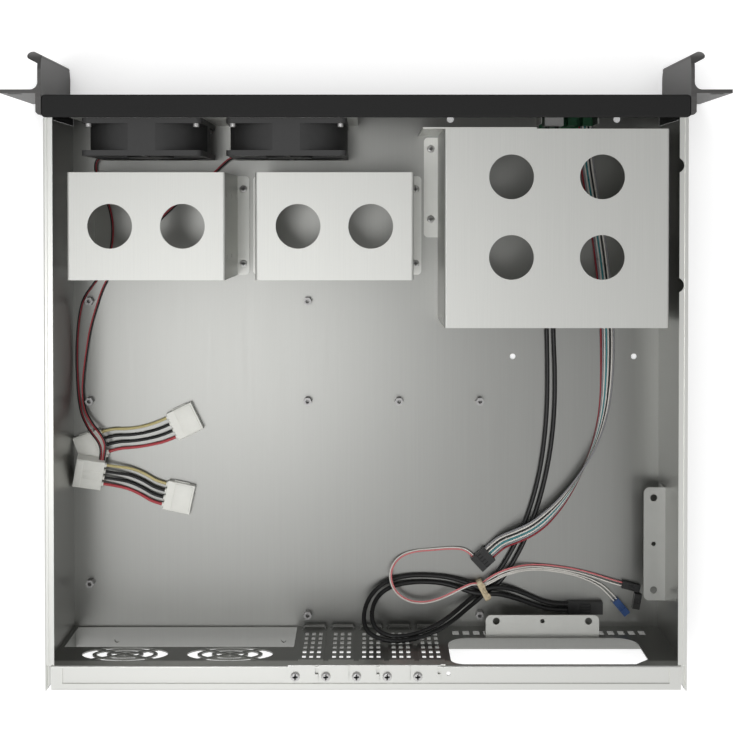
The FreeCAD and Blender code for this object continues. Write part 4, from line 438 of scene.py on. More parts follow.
@dataclass
class CrossScrews:
    """The screws of one node, rebuilt in their places with domed heads and cross recesses."""

    name: str
    finish: Finish
    facing: Point
    head_height: float = 2.0
    mirrored: bool = False
    sides: int = 28
    cross_reach: float = 0.56
    cross_width: float = 0.15
    cross_depth: float = 0.62
    cross_taper: float = 0.5
    point_share: float = 0.8
    point_length: float = 0.3

    def build(self, node: bpy.types.Object) -> bpy.types.Object:
        """Builds the screws in place of the node's.

        Args:
            node: The CAD node.

        Returns:
            The new screws.
        """
        shape = bmesh.new()
        for points in islands_of(node):
            self._add_screw(shape, points)
        screws = add_object(self.name + "_heads", mesh_from(self.name, shape), self.finish)
        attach(screws, CASE_BODY)
        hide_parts(self.name)
        log.info("%s: cross recesses", self.name)
        return screws

    def _add_screw(self, shape: BMesh, points: list[Vector]) -> None:
        """Adds one screw.

        Args:
            shape: The bmesh that receives it.
            points: The points of the plain screw.
        """
        middle = sum(points, Vector()) / len(points)
        facing = Vector(self.facing)
        if self.mirrored:
            facing.x = math.copysign(1.0, middle.x)
        heights = [point.dot(facing) for point in points]
        top, foot = max(heights), min(heights)
        low = [min(point[axis] for point in points) for axis in range(3)]
        high = [max(point[axis] for point in points) for axis in range(3)]
        centre = (Vector(low) + Vector(high)) / 2
        centre += facing * (top - centre.dot(facing))
        head = spread_round(points, centre, facing)
        ends = [point for point in points if point.dot(facing) < foot + 1e-5]
        shank = spread_round(ends, centre, facing)
        frame = Matrix.Translation(centre) @ facing.to_track_quat("Z", "Y").to_matrix().to_4x4()
        self._add_turned(shape, frame, head, shank, top - foot)

    def _add_turned(self, shape: BMesh, frame: Matrix, head: float, shank: float,
                    length: float) -> None:
        """Turns the screw's outline, then closes its top round a cross recess.

        Args:
            shape: The bmesh that receives it.
            frame: Turns and moves the screw's own frame, whose origin is the top of the head.
            head: Radius of the head.
            shank: Radius of the shank.
            length: Length from the top of the head to the end of the shank.
        """
        seat = -self.head_height * MM
        outline = [(0.0, -length), (shank * self.point_share, -length),
                   (shank, -length + self.point_length * MM), (shank, seat), (head, seat)]
        outline += [(head * across, seat * down) for across, down in DOME]
        steps = [shape.verts.new((radius, 0.0, level)) for radius, level in outline]
        edges = [shape.edges.new(pair) for pair in zip(steps, steps[1:])]
        turned = bmesh.ops.spin(shape, geom=steps + edges, axis=(0, 0, 1), cent=(0, 0, 0), dvec=(0, 0, 0),
                                angle=math.tau, steps=self.sides, use_merge=True)
        body = steps + [part for part in turned["geom_last"] if isinstance(part, BMVert)]
        rim_radius, rim_level = outline[-1]
        rim = [edge for edge in shape.edges if len(edge.link_faces) == 1
               and all(abs(vertex.co.z - rim_level) < 1e-7 for vertex in edge.verts)
               and all(abs(vertex.co.xy.length - rim_radius) < 1e-6 for vertex in edge.verts)]
        cross = self._cross_loop(shape, head, 0.0, 1.0)
        bmesh.ops.bridge_loops(shape, edges=rim + [shape.edges.get((one, two)) or shape.edges.new((one, two))
                                                   for one, two in zip(cross, cross[1:] + cross[:1])])
        foot = self._cross_loop(shape, head, seat * self.cross_depth, self.cross_taper)
        join_rings(shape, [cross, foot])
        shape.faces.new(foot)
        bmesh.ops.transform(shape, matrix=frame, verts=joined_to(body))

    def _cross_loop(self, shape: BMesh, head: float, level: float,
                    share: float) -> list[BMVert]:
        """Adds the corners of a cross.

        Args:
            shape: The bmesh that receives them.
            head: Radius of the head.
            level: Height of the corners.
            share: Size of the cross as a share of the full one.

        Returns:
            The twelve corners in order.
        """
        reach, half = head * self.cross_reach * share, head * self.cross_width * share
        corners = []
        for quarter in range(4):
            turn = Matrix.Rotation(quarter * math.pi / 2, 3, "Z")
            for place in ((reach, -half, 0.0), (reach, half, 0.0), (half, half, 0.0)):
                corners.append(turn @ Vector(place) + Vector((0.0, 0.0, level)))
        return [shape.verts.new(corner) for corner in corners]


SCREWS = [
    CrossScrews("slot_screws", PLATED, (0.0, 0.0, 1.0)),
    CrossScrews("cage_screws", PLATED, (0.0, 0.0, 1.0), head_height=1.4),
    CrossScrews("fan_screws", PLATED, (0.0, -1.0, 0.0)),
    CrossScrews("ear_screws", DULL_PLATED, (1.0, 0.0, 0.0), head_height=1.4, mirrored=True),
]


# ---------------------------------------------------------------- leads

STRAND_SHARE = 0.48     # a wire's radius as a share of the pitch, so that neighbours nearly touch
FAN_START = 0.66     # how far along a lead its wires begin to spread


@dataclass
class Lead:
    """A free lead on one smooth curve: one wire, a pair or a flat ribbon."""

    name: str
    route: list[Vector]
    diameter: float
    length: float
    far_end: str
    wires: list[Wire]
    pitch: float = 0.0
    twist: list[float] = field(default_factory=list)
    ends: tuple[float, ...] = ()
    stiffness: str = "limp"
    with_pieces: tuple[str, ...] = ()

    def build(self) -> bpy.types.Object:
        """Returns:
            The finished lead.
        """
        curve = self._route_curve()
        if len(self.wires) == 1:
            curve.bevel_depth = self.diameter / 2
            curve.bevel_resolution = 4
            curve.use_fill_caps = True
            lead = add_object(self.name + "_wire", curve, self.wires[0].finish())
            path = None
        else:
            path = self._centreline(curve)
            lead = self._strands(path)
            bpy.data.curves.remove(curve)
        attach(lead, CASE_BODY)
        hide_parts(self.name)
        log.info("%s: %d wires", lead.name, len(self.wires))
        return lead

    def _route_curve(self) -> bpy.types.Curve:
        """Makes the smooth curve that the lead follows.

        Returns:
            A curve of one spline without thickness.
        """
        curve = bpy.data.curves.new(self.name + "_route", "CURVE")
        curve.dimensions = "3D"
        curve.resolution_u = 10
        spline = curve.splines.new("NURBS")
        spline.points.add(len(self.route) - 1)
        for control, place in zip(spline.points, self.route):
            control.co = (*place, 1.0)
        spline.order_u = 3
        spline.use_endpoint_u = True
        return curve

    @staticmethod
    def _centreline(curve: bpy.types.Curve) -> list[Vector]:
        """Reads the points of a curve without thickness.

        Args:
            curve: The route's curve.

        Returns:
            The points in order.
        """
        carrier = add_object("route_carrier", curve)
        line = evaluated_mesh(carrier)
        points = [vertex.co.copy() for vertex in line.vertices]
        bpy.data.objects.remove(carrier)
        bpy.data.meshes.remove(line)
        return points

    def _strands(self, path: list[Vector]) -> bpy.types.Object:
        """Lays the wires side by side along the route.

        Args:
            path: The centreline.

        Returns:
            One mesh with a finish for each wire.
        """
        curve = bpy.data.curves.new(self.name + "_strands", "CURVE")
        curve.dimensions = "3D"
        curve.bevel_depth = self.pitch * STRAND_SHARE
        curve.bevel_resolution = 3
        curve.use_fill_caps = True
        carrier = add_object("strand_carrier", curve, *(wire.finish() for wire in self.wires))
        last = len(path) - 1
        for index in range(len(self.wires)):
            spline = curve.splines.new("POLY")
            spline.points.add(last)
            spline.material_index = index
            offset = (index - (len(self.wires) - 1) / 2) * self.pitch
            for number, (control, place) in enumerate(zip(spline.points, path)):
                across = self._fanned(offset, index, number / last)
                control.co = (*(place + self._side(path, number) * across), 1.0)
        mesh = evaluated_mesh(carrier)
        mesh.name = self.name + "_wires"
        bpy.data.objects.remove(carrier)
        bpy.data.curves.remove(curve)
        for face in mesh.polygons:
            face.use_smooth = True
        return add_object(self.name + "_wires", mesh)

    def _fanned(self, offset: float, index: int, share: float) -> float:
        """Lets the wires spread to their own ends over the last third of the lead.

        Args:
            offset: The wire's place across the lead.
            index: The wire's number.
            share: How far along the lead the point lies, from 0 to 1.

        Returns:
            The wire's place across the lead at that point.
        """
        if not self.ends:
            return offset
        blend = max(0.0, (share - FAN_START) / (1 - FAN_START))
        blend = blend * blend * (3 - 2 * blend)
        return offset + (self.ends[index] * MM - offset) * blend

    def _side(self, path: list[Vector], number: int) -> Vector:
        """Gives the direction across the wires at a point of the route.

        Args:
            path: The centreline.
            number: The point's place in it.

        Returns:
            A unit vector, level where the lead isn't twisted.
        """
        ahead = path[min(number + 1, len(path) - 1)] - path[max(number - 1, 0)]
        ahead.normalize()
        level = ahead.cross(Vector((0, 0, 1)))
        level = level.normalized() if level.length > 1e-6 else Vector((1, 0, 0))
        if not self.twist:
            return level
        share = number / (len(path) - 1) * (len(self.twist) - 1)
        low = min(int(share), len(self.twist) - 2)
        angle = self.twist[low] + (self.twist[low + 1] - self.twist[low]) * (share - low)
        return Quaternion(ahead, math.radians(angle)) @ level


SOCKET_SIZE = (19.5, 21.2, 6.3)     # length, width and thickness of a power plug with sockets
PIN_SIZE = (20.0, 22.5, 8.2)     # the same of one with pins
PIN_STEPS = (-1.5, -0.5, 0.5, 1.5)     # places of its four ways across, in pin pitches


@dataclass
class PowerPlug:
    """A four-way power plug that lies in the tray. Its wires enter at the -X end of its own frame."""

    name: str
    centre: Point
    turn: float
    male: bool = False
    lift: float = 0.0
    roll: float = 0.0
    pin_pitch: float = 5.08
    entry_reach: float = 7.0

    @property
    def size(self) -> Point:
        """Length, width and thickness in millimetres."""
        return PIN_SIZE if self.male else SOCKET_SIZE

    @property
    def placement(self) -> Matrix:
        """Turns and moves the plug's own frame, in millimetres, into the case's frame."""
        turned = Matrix.Rotation(math.radians(self.turn), 4, "Z")
        turned = turned @ Matrix.Rotation(math.radians(-self.lift), 4, "Y")
        turned = turned @ Matrix.Rotation(math.radians(self.roll), 4, "X")
        return Matrix.Translation(self.centre) @ turned

    def wire_places(self, reach: float) -> list[tuple[Vector, Vector]]:
        """Finds where the four wires leave.

        Args:
            reach: How far behind the end face the second point of each pair lies.

        Returns:
            For each wire the point on the face and the point behind it, in millimetres.
        """
        length, _, thickness = self.size
        place = self.placement
        return [(place @ Vector((-length / 2, step * self.pin_pitch, thickness / 2)),
                 place @ Vector((-length / 2 - reach, step * self.pin_pitch, thickness / 2)))
                for step in PIN_STEPS]

    def side_entry(self, along: float) -> list[Vector]:
        """Finds the last two points of a lead that enters the long side.

        Args:
            along: Distance from the plug's middle.

        Returns:
            The point before the side and the point on it, in millimetres.
        """
        _, width, thickness = self.size
        place = self.placement
        return [place @ Vector((along, -width / 2 - reach, thickness / 2))
                for reach in (self.entry_reach, 0.0)]


PLUGS = [
    PowerPlug("power_plug_1", (130.8, 22.9, FLOOR_TOP), 206.0),
    PowerPlug("power_plug_2", (199.0, 42.0, FLOOR_TOP), 20.0),
    PowerPlug("power_plug_3", (199.8, 58.1, 5.95), -10.0, True, 9.6, -16.2),
    PowerPlug("power_plug_4", (135.2, 78.3, FLOOR_TOP), 168.0),
]


@dataclass
class JumperSet:
    """Four short wires between two power plugs."""

    number: int
    start: PowerPlug
    end: PowerPlug
    bows: tuple[float, ...]
    lengths: tuple[float, ...]
    diameter: float = 2.1
    straight: float = 8.0
    clearance: float = 0.3
    shares: tuple[float, float] = (0.34, 0.67)
    bow_shares: tuple[float, float] = (1.0, 0.9)
    drop: float = 0.6
    start_sag: float = 2.6

    def build(self) -> None:
        """Builds the four wires."""
        colours = (("yellow", Wire.YELLOW), ("black_1", Wire.BLACK), ("black_2", Wire.BLACK),
                   ("red", Wire.RED))
        starts = self.start.wire_places(self.straight)
        ends = list(reversed(self.end.wire_places(self.straight)))
        for index, (suffix, wire) in enumerate(colours):
            route = self._route(starts[index], ends[index], self.bows[index])
            Lead(f"jumper_{self.number}_{suffix}", route, self.diameter * MM, self.lengths[index] * MM, "plug",
                 [wire], stiffness="medium", with_pieces=(self.start.name, self.end.name)).build()

    def _route(self, start: tuple[Vector, Vector], end: tuple[Vector, Vector], bow: float) -> list[Vector]:
        """Bows one wire between its two plugs.

        Args:
            start: The points on and behind the first plug's face.
            end: The same of the second plug.
            bow: Sideways bow in millimetres.

        Returns:
            The route in metres.
        """
        low = FLOOR_TOP + self.diameter / 2 + self.clearance
        run = end[1] - start[1]
        sideways = Vector((-run.y, run.x, 0)).normalized() * bow
        route = [start[0], start[1]]
        for share, bowed in zip(self.shares, self.bow_shares):
            middle = start[1] + run * share + sideways * bowed
            middle.z = max(low, middle.z - self.start_sag * (1 - share) - self.drop)
            route.append(middle)
        return [point * MM for point in route + [end[1], end[0]]]


TIE_MIDDLE = (-84.7, 145.2)
TIE_TURN = 118.0


def at_tie(across: float, height: float) -> Point:
    """Gives a point in the tie's opening.

    Args:
        across: Distance from the opening's middle.
        height: Height above the tray's underside.

    Returns:
        The point in millimetres.
    """
    turn = math.radians(TIE_TURN)
    return (TIE_MIDDLE[0] + across * math.cos(turn), TIE_MIDDLE[1] + across * math.sin(turn), height)


# Routes of the leads that are listed point by point, from the fixed end to the free one.
FAN_LEAD_1 = [
    (188.6, -166.8, 8.0), (192.8, -166.8, 8.0), (195.4, -161.0, 5.8), (194.0, -152.0, 2.9),
    (188.0, -139.0, 2.3), (183.2, -122.0, 2.3), (183.6, -104.0, 2.3), (188.6, -88.0, 2.3),
    (197.0, -76.0, 2.3), (204.6, -66.0, 2.3), (207.8, -53.0, 2.3), (209.3, -37.0, 2.3), (209.7, -21.5, 2.3),
    (209.2, -6.0, 2.4), (208.0, 8.0, 3.2), (205.0, 19.4, 6.8), (198.6, 29.0, 11.4), (191.6, 36.4, 14.0),
]
FAN_LEAD_2 = [
    (92.8, -166.8, 8.0), (97.2, -166.8, 8.0), (102.8, -162.4, 5.0), (111.0, -154.5, 2.6),
    (124.0, -145.0, 2.3), (138.0, -133.0, 2.3), (153.0, -118.5, 2.3), (168.0, -103.0, 2.3),
    (181.0, -88.5, 2.3), (190.0, -74.5, 2.3), (194.9, -59.5, 2.3), (199.7, -43.5, 2.3), (202.3, -27.0, 2.3),
    (204.5, -10.5, 2.4), (205.3, 3.0, 2.6), (203.4, 14.6, 5.4), (197.2, 24.0, 10.0), (190.0, 31.4, 13.4),
    (186.6, 37.6, 14.4),
]
USB_CABLE_1 = [
    (-129.4, -188.7, 12.5), (-129.4, -179.0, 12.5), (-129.8, -166.0, 7.2), (-130.8, -147.0, 3.2),
    (-131.2, -120.0, 2.9), (-130.2, -92.0, 2.9), (-130.0, -65.0, 2.9), (-130.6, -38.0, 2.9),
    (-131.2, -12.0, 2.9), (-130.9, 14.0, 2.9), (-129.0, 38.0, 2.9), (-125.4, 62.0, 2.9),
    (-119.4, 85.0, 2.9), (-111.0, 107.0, 2.9), (-101.0, 125.6, 2.9), (-92.6, 137.2, 3.1), at_tie(-0.4, 3.5),
    (-78.4, 149.8, 4.2), (-71.0, 153.8, 10.4), (-60.4, 159.2, 21.4), (-49.0, 163.8, 30.6),
    (-35.0, 167.6, 37.4), (-21.6, 168.8, 40.4), (-10.6, 167.0, 38.8), (-4.4, 162.0, 32.8),
    (-3.8, 154.2, 22.8), (-9.1, 146.6, 12.0), (-20.4, 141.8, 5.0), (-38.5, 140.0, 3.0), (-54.7, 141.0, 3.0),
    (-66.0, 143.6, 4.8), (-75.4, 146.8, 7.3), at_tie(3.2, 7.5), (-95.4, 147.9, 7.0), (-107.0, 151.4, 4.6),
    (-119.0, 156.0, 3.0), (-129.5, 159.6, 3.4), (-138.5, 160.6, 4.0), (-145.75, 160.6, 4.0),
]
USB_CABLE_2 = [
    (-136.0, -188.7, 12.5), (-136.0, -179.0, 12.5), (-136.0, -166.0, 7.2), (-135.8, -147.0, 3.2),
    (-136.4, -120.0, 2.9), (-135.8, -92.0, 2.9), (-134.9, -65.0, 2.9), (-135.4, -38.0, 2.9),
    (-136.6, -12.0, 2.9), (-136.4, 14.0, 2.9), (-134.4, 38.0, 2.9), (-130.4, 62.0, 2.9),
    (-124.2, 86.0, 2.9), (-115.6, 109.0, 2.9), (-105.4, 128.5, 2.9), (-96.4, 141.2, 3.1), at_tie(3.3, 3.5),
    (-80.8, 153.2, 4.4), (-73.0, 157.2, 11.0), (-62.0, 162.6, 22.6), (-49.6, 167.2, 32.6),
    (-35.0, 170.0, 40.4), (-21.0, 170.6, 44.6), (-8.0, 169.2, 43.0), (0.6, 165.2, 36.4), (2.2, 156.8, 25.4),
    (-2.4, 147.6, 13.8), (-13.0, 139.4, 5.4), (-29.0, 135.6, 3.0), (-46.0, 135.4, 3.0), (-61.0, 137.0, 3.4),
    (-73.6, 140.2, 6.4), at_tie(-0.5, 7.5), (-94.2, 142.6, 7.3), (-105.4, 144.8, 5.4), (-117.4, 149.8, 3.0),
    (-128.6, 154.8, 3.4), (-138.5, 156.6, 4.0), (-145.75, 156.6, 4.0),
]
PANEL_RIBBON = [
    (-156.4, -189.0, 15.0), (-156.4, -178.0, 15.0), (-158.2, -163.0, 9.4), (-162.2, -144.0, 4.2),
    (-166.4, -119.0, 3.2), (-170.4, -92.0, 3.2), (-173.2, -66.0, 3.2), (-174.5, -38.0, 3.2),
    (-174.3, -12.0, 3.2), (-172.3, 14.0, 4.6), (-166.0, 38.0, 7.0), (-155.4, 60.0, 7.4),
    (-142.8, 79.0, 7.8), (-130.6, 91.5, 10.4), (-119.6, 99.6, 12.4), (-108.6, 105.0, 11.0),
    (-99.6, 109.4, 6.8), (-94.6, 113.58, 4.2), (-89.008, 118.803, 4.2),
]
SWITCH_LEAD = [
    (-77.1, 121.1, 3.6), (-72.8, 116.5, 2.8), (-62.0, 115.8, 1.9), (-48.0, 117.0, 1.9), (-34.6, 118.0, 1.9),
    (-24.0, 121.6, 3.6), (-17.8, 129.0, 8.0), (-17.4, 138.0, 11.2), (-21.8, 146.4, 12.2),
    (-30.4, 152.2, 11.0), (-41.0, 153.8, 10.0), (-51.6, 151.2, 10.6), (-61.0, 146.6, 11.8),
    (-69.4, 142.0, 12.4), (-77.1, 139.2, 10.6), at_tie(-4.1, 6.6), (-89.4, 136.2, 7.2), (-97.6, 131.4, 8.6),
    (-106.2, 128.9, 8.2), (-116.0, 128.3, 3.8), (-127.0, 128.6, 2.0), (-141.0, 130.2, 2.0),
    (-155.0, 132.8, 2.0), (-168.0, 136.4, 2.6), (-178.4, 139.9, 3.6), (-185.2, 141.6, 3.6),
]
RESET_LEAD = [
    at_tie(-3.7, 9.05), (-90.4, 138.4, 9.6), (-98.4, 133.8, 9.6), (-107.0, 131.4, 8.8),
    (-116.6, 130.9, 4.2), (-127.0, 131.3, 2.0), (-141.0, 132.9, 2.0), (-154.0, 135.9, 2.0),
    (-165.4, 140.2, 2.6), (-174.0, 145.596, 3.6), (-180.4, 153.2, 3.6),
]


# How far the ribbon is turned over at evenly spaced places along it, in degrees: it lies face up, then over.
RIBBON_TWIST = [0.0] * 5 + [20.0, 55.0, 90.0, 130.0, 165.0] + [180.0] * 3
RIBBON_WIRES = [Wire.GREY, Wire.WHITE, Wire.BLACK, Wire.WHITE,
                Wire.TEAL, Wire.WHITE, Wire.GREY, Wire.DARK_RED]


def build_leads() -> None:
    """Builds every loose lead of the case."""
    plug_3 = PLUGS[2]
    Lead("fan_lead_1", in_metres(FAN_LEAD_1) + [point * MM for point in plug_3.side_entry(-6.2)],
         2.0 * MM, 236.7 * MM, "plug", [Wire.DARK_RED, Wire.BLACK], pitch=1.0 * MM,
         with_pieces=("power_plug_3",)).build()
    Lead("fan_lead_2", in_metres(FAN_LEAD_2) + [point * MM for point in plug_3.side_entry(-8.6)],
         2.0 * MM, 270.7 * MM, "plug", [Wire.BLACK, Wire.RED], pitch=1.05 * MM,
         with_pieces=("power_plug_3",)).build()
    Lead("usb_cable_1", in_metres(USB_CABLE_1), 3.2 * MM, 615.2 * MM, "connector", [Wire.BLACK],
         stiffness="medium", with_pieces=("usb_header_plug", "cable_tie")).build()
    Lead("usb_cable_2", in_metres(USB_CABLE_2), 3.2 * MM, 640.1 * MM, "connector", [Wire.BLACK],
         stiffness="medium", with_pieces=("usb_header_plug", "cable_tie")).build()
    Lead("panel_ribbon", in_metres(PANEL_RIBBON), 10.4 * MM, 347.3 * MM, "connector", RIBBON_WIRES,
         pitch=1.3 * MM, twist=RIBBON_TWIST, with_pieces=("panel_plug",)).build()
    Lead("switch_lead", in_metres(SWITCH_LEAD), 2.2 * MM, 259.4 * MM, "connector", [Wire.PINK, Wire.WHITE],
         pitch=1.1 * MM, ends=(-1.1, 1.3), with_pieces=("panel_plug", "panel_lead_plugs")).build()
    Lead("reset_lead", in_metres(RESET_LEAD), 2.2 * MM, 107.1 * MM, "connector", [Wire.WHITE] * 2,
         pitch=1.1 * MM, ends=(-1.2, 1.2), with_pieces=("panel_lead_plugs",)).build()
    JumperSet(1, PLUGS[1], PLUGS[0], (-2.2, -2.0, -1.7, -1.4), (51.6, 52.0, 52.5, 52.9)).build()
    JumperSet(2, PLUGS[2], PLUGS[3], (2.2, 2.0, 1.8, 1.6), (48.5, 48.4, 48.3, 48.3)).build()


# ---------------------------------------------------------------- plugs and tie


@dataclass
class HeaderPlug:
    """A small socket housing with a window over each contact and openings for the pins."""

    middle: Point
    length: float
    width: float
    height: float
    turn: float
    ways: int
    rows: int = 1
    finish: Finish = BLACK_NYLON
    strips: int = 3
    frame_share: float = 0.2
    window_depth: float = 0.9
    pin_depth: float = 3.0
    draft: float = 0.01

    def add_to(self, shape: BMesh) -> None:
        """Adds the housing to a bmesh in metres.

        Args:
            shape: The bmesh that receives it.
        """
        own = bmesh.new()
        add_block(own, (-self.length / 2, -self.width / 2, 0.0),
                  (self.length / 2, self.width / 2, self.height))
        self._cut(own, (0.0, 1.0, 0.0), self.width, self.ways)
        self._cut(own, (0.0, 0.0, 1.0), self.height, self.rows)
        self._cut(own, (1.0, 0.0, 0.0), self.length, self.strips)
        own.faces.ensure_lookup_table()
        half_strip = self.length / self.strips / 2
        windows = [face for face in own.faces
                   if face.normal.z > 0.9 and abs(face.calc_center_median().x) < half_strip]
        pins = [face for face in own.faces if face.normal.x > 0.9]
        frame = min(self.width / self.ways, self.height / self.rows) * self.frame_share
        for faces, depth in ((windows, self.window_depth), (pins, self.pin_depth)):
            bmesh.ops.inset_individual(own, faces=faces, thickness=frame)
            bmesh.ops.inset_individual(own, faces=faces, thickness=self.draft, depth=-depth)
        place = Matrix.Translation(self.middle) @ Matrix.Rotation(math.radians(self.turn), 4, "Z")
        bmesh.ops.transform(own, matrix=Matrix.Scale(MM, 4) @ place, verts=own.verts[:])
        for face in own.faces:
            face.material_index = 1 if self.finish is BLUE_NYLON else 0
        carrier = bpy.data.meshes.new("housing")
        own.to_mesh(carrier)
        own.free()
        shape.from_mesh(carrier)
        bpy.data.meshes.remove(carrier)

    @staticmethod
    def _cut(own: BMesh, along: Point, span: float, parts: int) -> None:
        """Cuts the housing's faces into equal strips.

        Args:
            own: The housing.
            along: The direction in which the strips follow each other.
            span: The housing's extent in that direction.
            parts: Number of strips.
        """
        low = 0.0 if along[2] else -span / 2
        for step in range(1, parts):
            everything = own.verts[:] + own.edges[:] + own.faces[:]
            bmesh.ops.bisect_plane(own, geom=everything, plane_co=Vector(along) * (low + span * step / parts),
                                   plane_no=along, dist=1e-5)


HEADER_PLUGS: dict[str, list[HeaderPlug]] = {
    "usb_header_plug": [HeaderPlug((-158.4, 158.6, FLOOR_TOP), 25.3, 8.9, 6.0, 180.0, 4, 2)],
    "panel_plug": [HeaderPlug((-84.4, 123.1, FLOOR_TOP), 12.6, 12.8, 6.4, 43.0, 5, 2)],
    "panel_lead_plugs": [
        HeaderPlug((-191.604, 143.197, FLOOR_TOP), 13.2, 5.2, 5.2, 166.0, 2),
        HeaderPlug((-184.65, 158.25, FLOOR_TOP), 13.2, 5.2, 5.2, 130.1, 2, finish=BLUE_NYLON),
        HeaderPlug((-196.0, 154.0, FLOOR_TOP), 11.0, 5.2, 5.2, 80.0, 2),
    ],
}


def build_header_plugs() -> None:
    """Builds the socket housings in place of their plain solids."""
    for name, plugs in HEADER_PLUGS.items():
        shape = bmesh.new()
        for plug in plugs:
            plug.add_to(shape)
        housing = add_object(name + "_housing", mesh_from(name, shape), BLACK_NYLON, BLUE_NYLON)
        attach(housing, CASE_BODY)
        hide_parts(name)
        log.info("%s: windows and pin openings", name)


@dataclass
class PlugDetails:
    """What a power plug carries beyond its housing: a step, ribs, collars for its wires, and pins."""

    plug: PowerPlug
    sunk: float = 0.2
    bevel: float = 0.2
    step_start_share: float = 0.22
    step_setback: float = 1.0
    step_height: float = 0.55
    step_margin: float = 1.2
    step_bevel: float = 0.25
    rib_shares: tuple[float, float] = (0.3, 0.28)
    rib_width: float = 0.7
    rib_levels: tuple[float, float] = (1.4, 2.6)
    lip_length: float = 5.0
    lip_height: float = 0.4
    lip_margin: float = 0.6
    lip_setback: float = 0.2
    key_setbacks: tuple[float, float] = (2.0, 6.0)
    key_height: float = 0.35
    key_half_width: float = 3.2
    collar: float = 1.75
    collar_reach: float = 1.4
    collar_sunk: float = 0.6
    pin_radius: float = 1.0
    pin_start: float = 11.0
    pin_length: float = 10.0

    def build(self) -> bpy.types.Object:
        """Builds the details onto the housing.

        Returns:
            The details as one mesh.
        """
        shape = bmesh.new()
        if self.plug.male:
            self._pin_side(shape)
        else:
            self._socket_side(shape)
        inverse = self.plug.placement.inverted()
        for start, behind in self.plug.wire_places(self.collar_reach):
            inside = inverse @ start + Vector((self.collar_sunk, 0.0, 0.0))
            add_rod(shape, inside, inverse @ behind, self.collar)
        bmesh.ops.transform(shape, matrix=Matrix.Scale(MM, 4) @ self.plug.placement, verts=shape.verts[:])
        details = add_object(self.plug.name + "_details", mesh_from(self.plug.name, shape), WHITE_NYLON)
        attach(details, CASE_BODY)
        log.info("%s: details", self.plug.name)
        return details

    def _socket_side(self, shape: BMesh) -> None:
        """Adds the step on the top and the ribs on the sides.

        Args:
            shape: The bmesh that receives them, in the plug's own frame.
        """
        length, width, thickness = self.plug.size
        edge = width / 2 - self.step_margin
        add_block(shape, (-length * self.step_start_share, -edge, thickness - self.sunk),
                  (length / 2 - self.step_setback, edge, thickness + self.step_height), self.step_bevel)
        rear_share, front_share = self.rib_shares
        low, high = self.rib_levels
        for side in (-width / 2, width / 2):
            add_block(shape, (-length * rear_share, side - self.rib_width, low),
                      (length * front_share, side + self.rib_width, high), self.bevel)

    def _pin_side(self, shape: BMesh) -> None:
        """Adds the lip and the key on the top, and the pins in the mouth.

        Args:
            shape: The bmesh that receives them, in the plug's own frame.
        """
        length, width, thickness = self.plug.size
        front, edge = length / 2, width / 2 - self.lip_margin
        add_block(shape, (front - self.lip_length, -edge, thickness - self.sunk),
                  (front - self.lip_setback, edge, thickness + self.lip_height), self.bevel)
        behind, before = self.key_setbacks
        add_block(shape, (-front + behind, -self.key_half_width, thickness - self.sunk),
                  (front - before, self.key_half_width, thickness + self.key_height), self.bevel)
        for step in PIN_STEPS:
            inner = Vector((front - self.pin_start, step * self.plug.pin_pitch, thickness / 2))
            add_rod(shape, inner, inner + Vector((self.pin_length, 0.0, 0.0)), self.pin_radius)


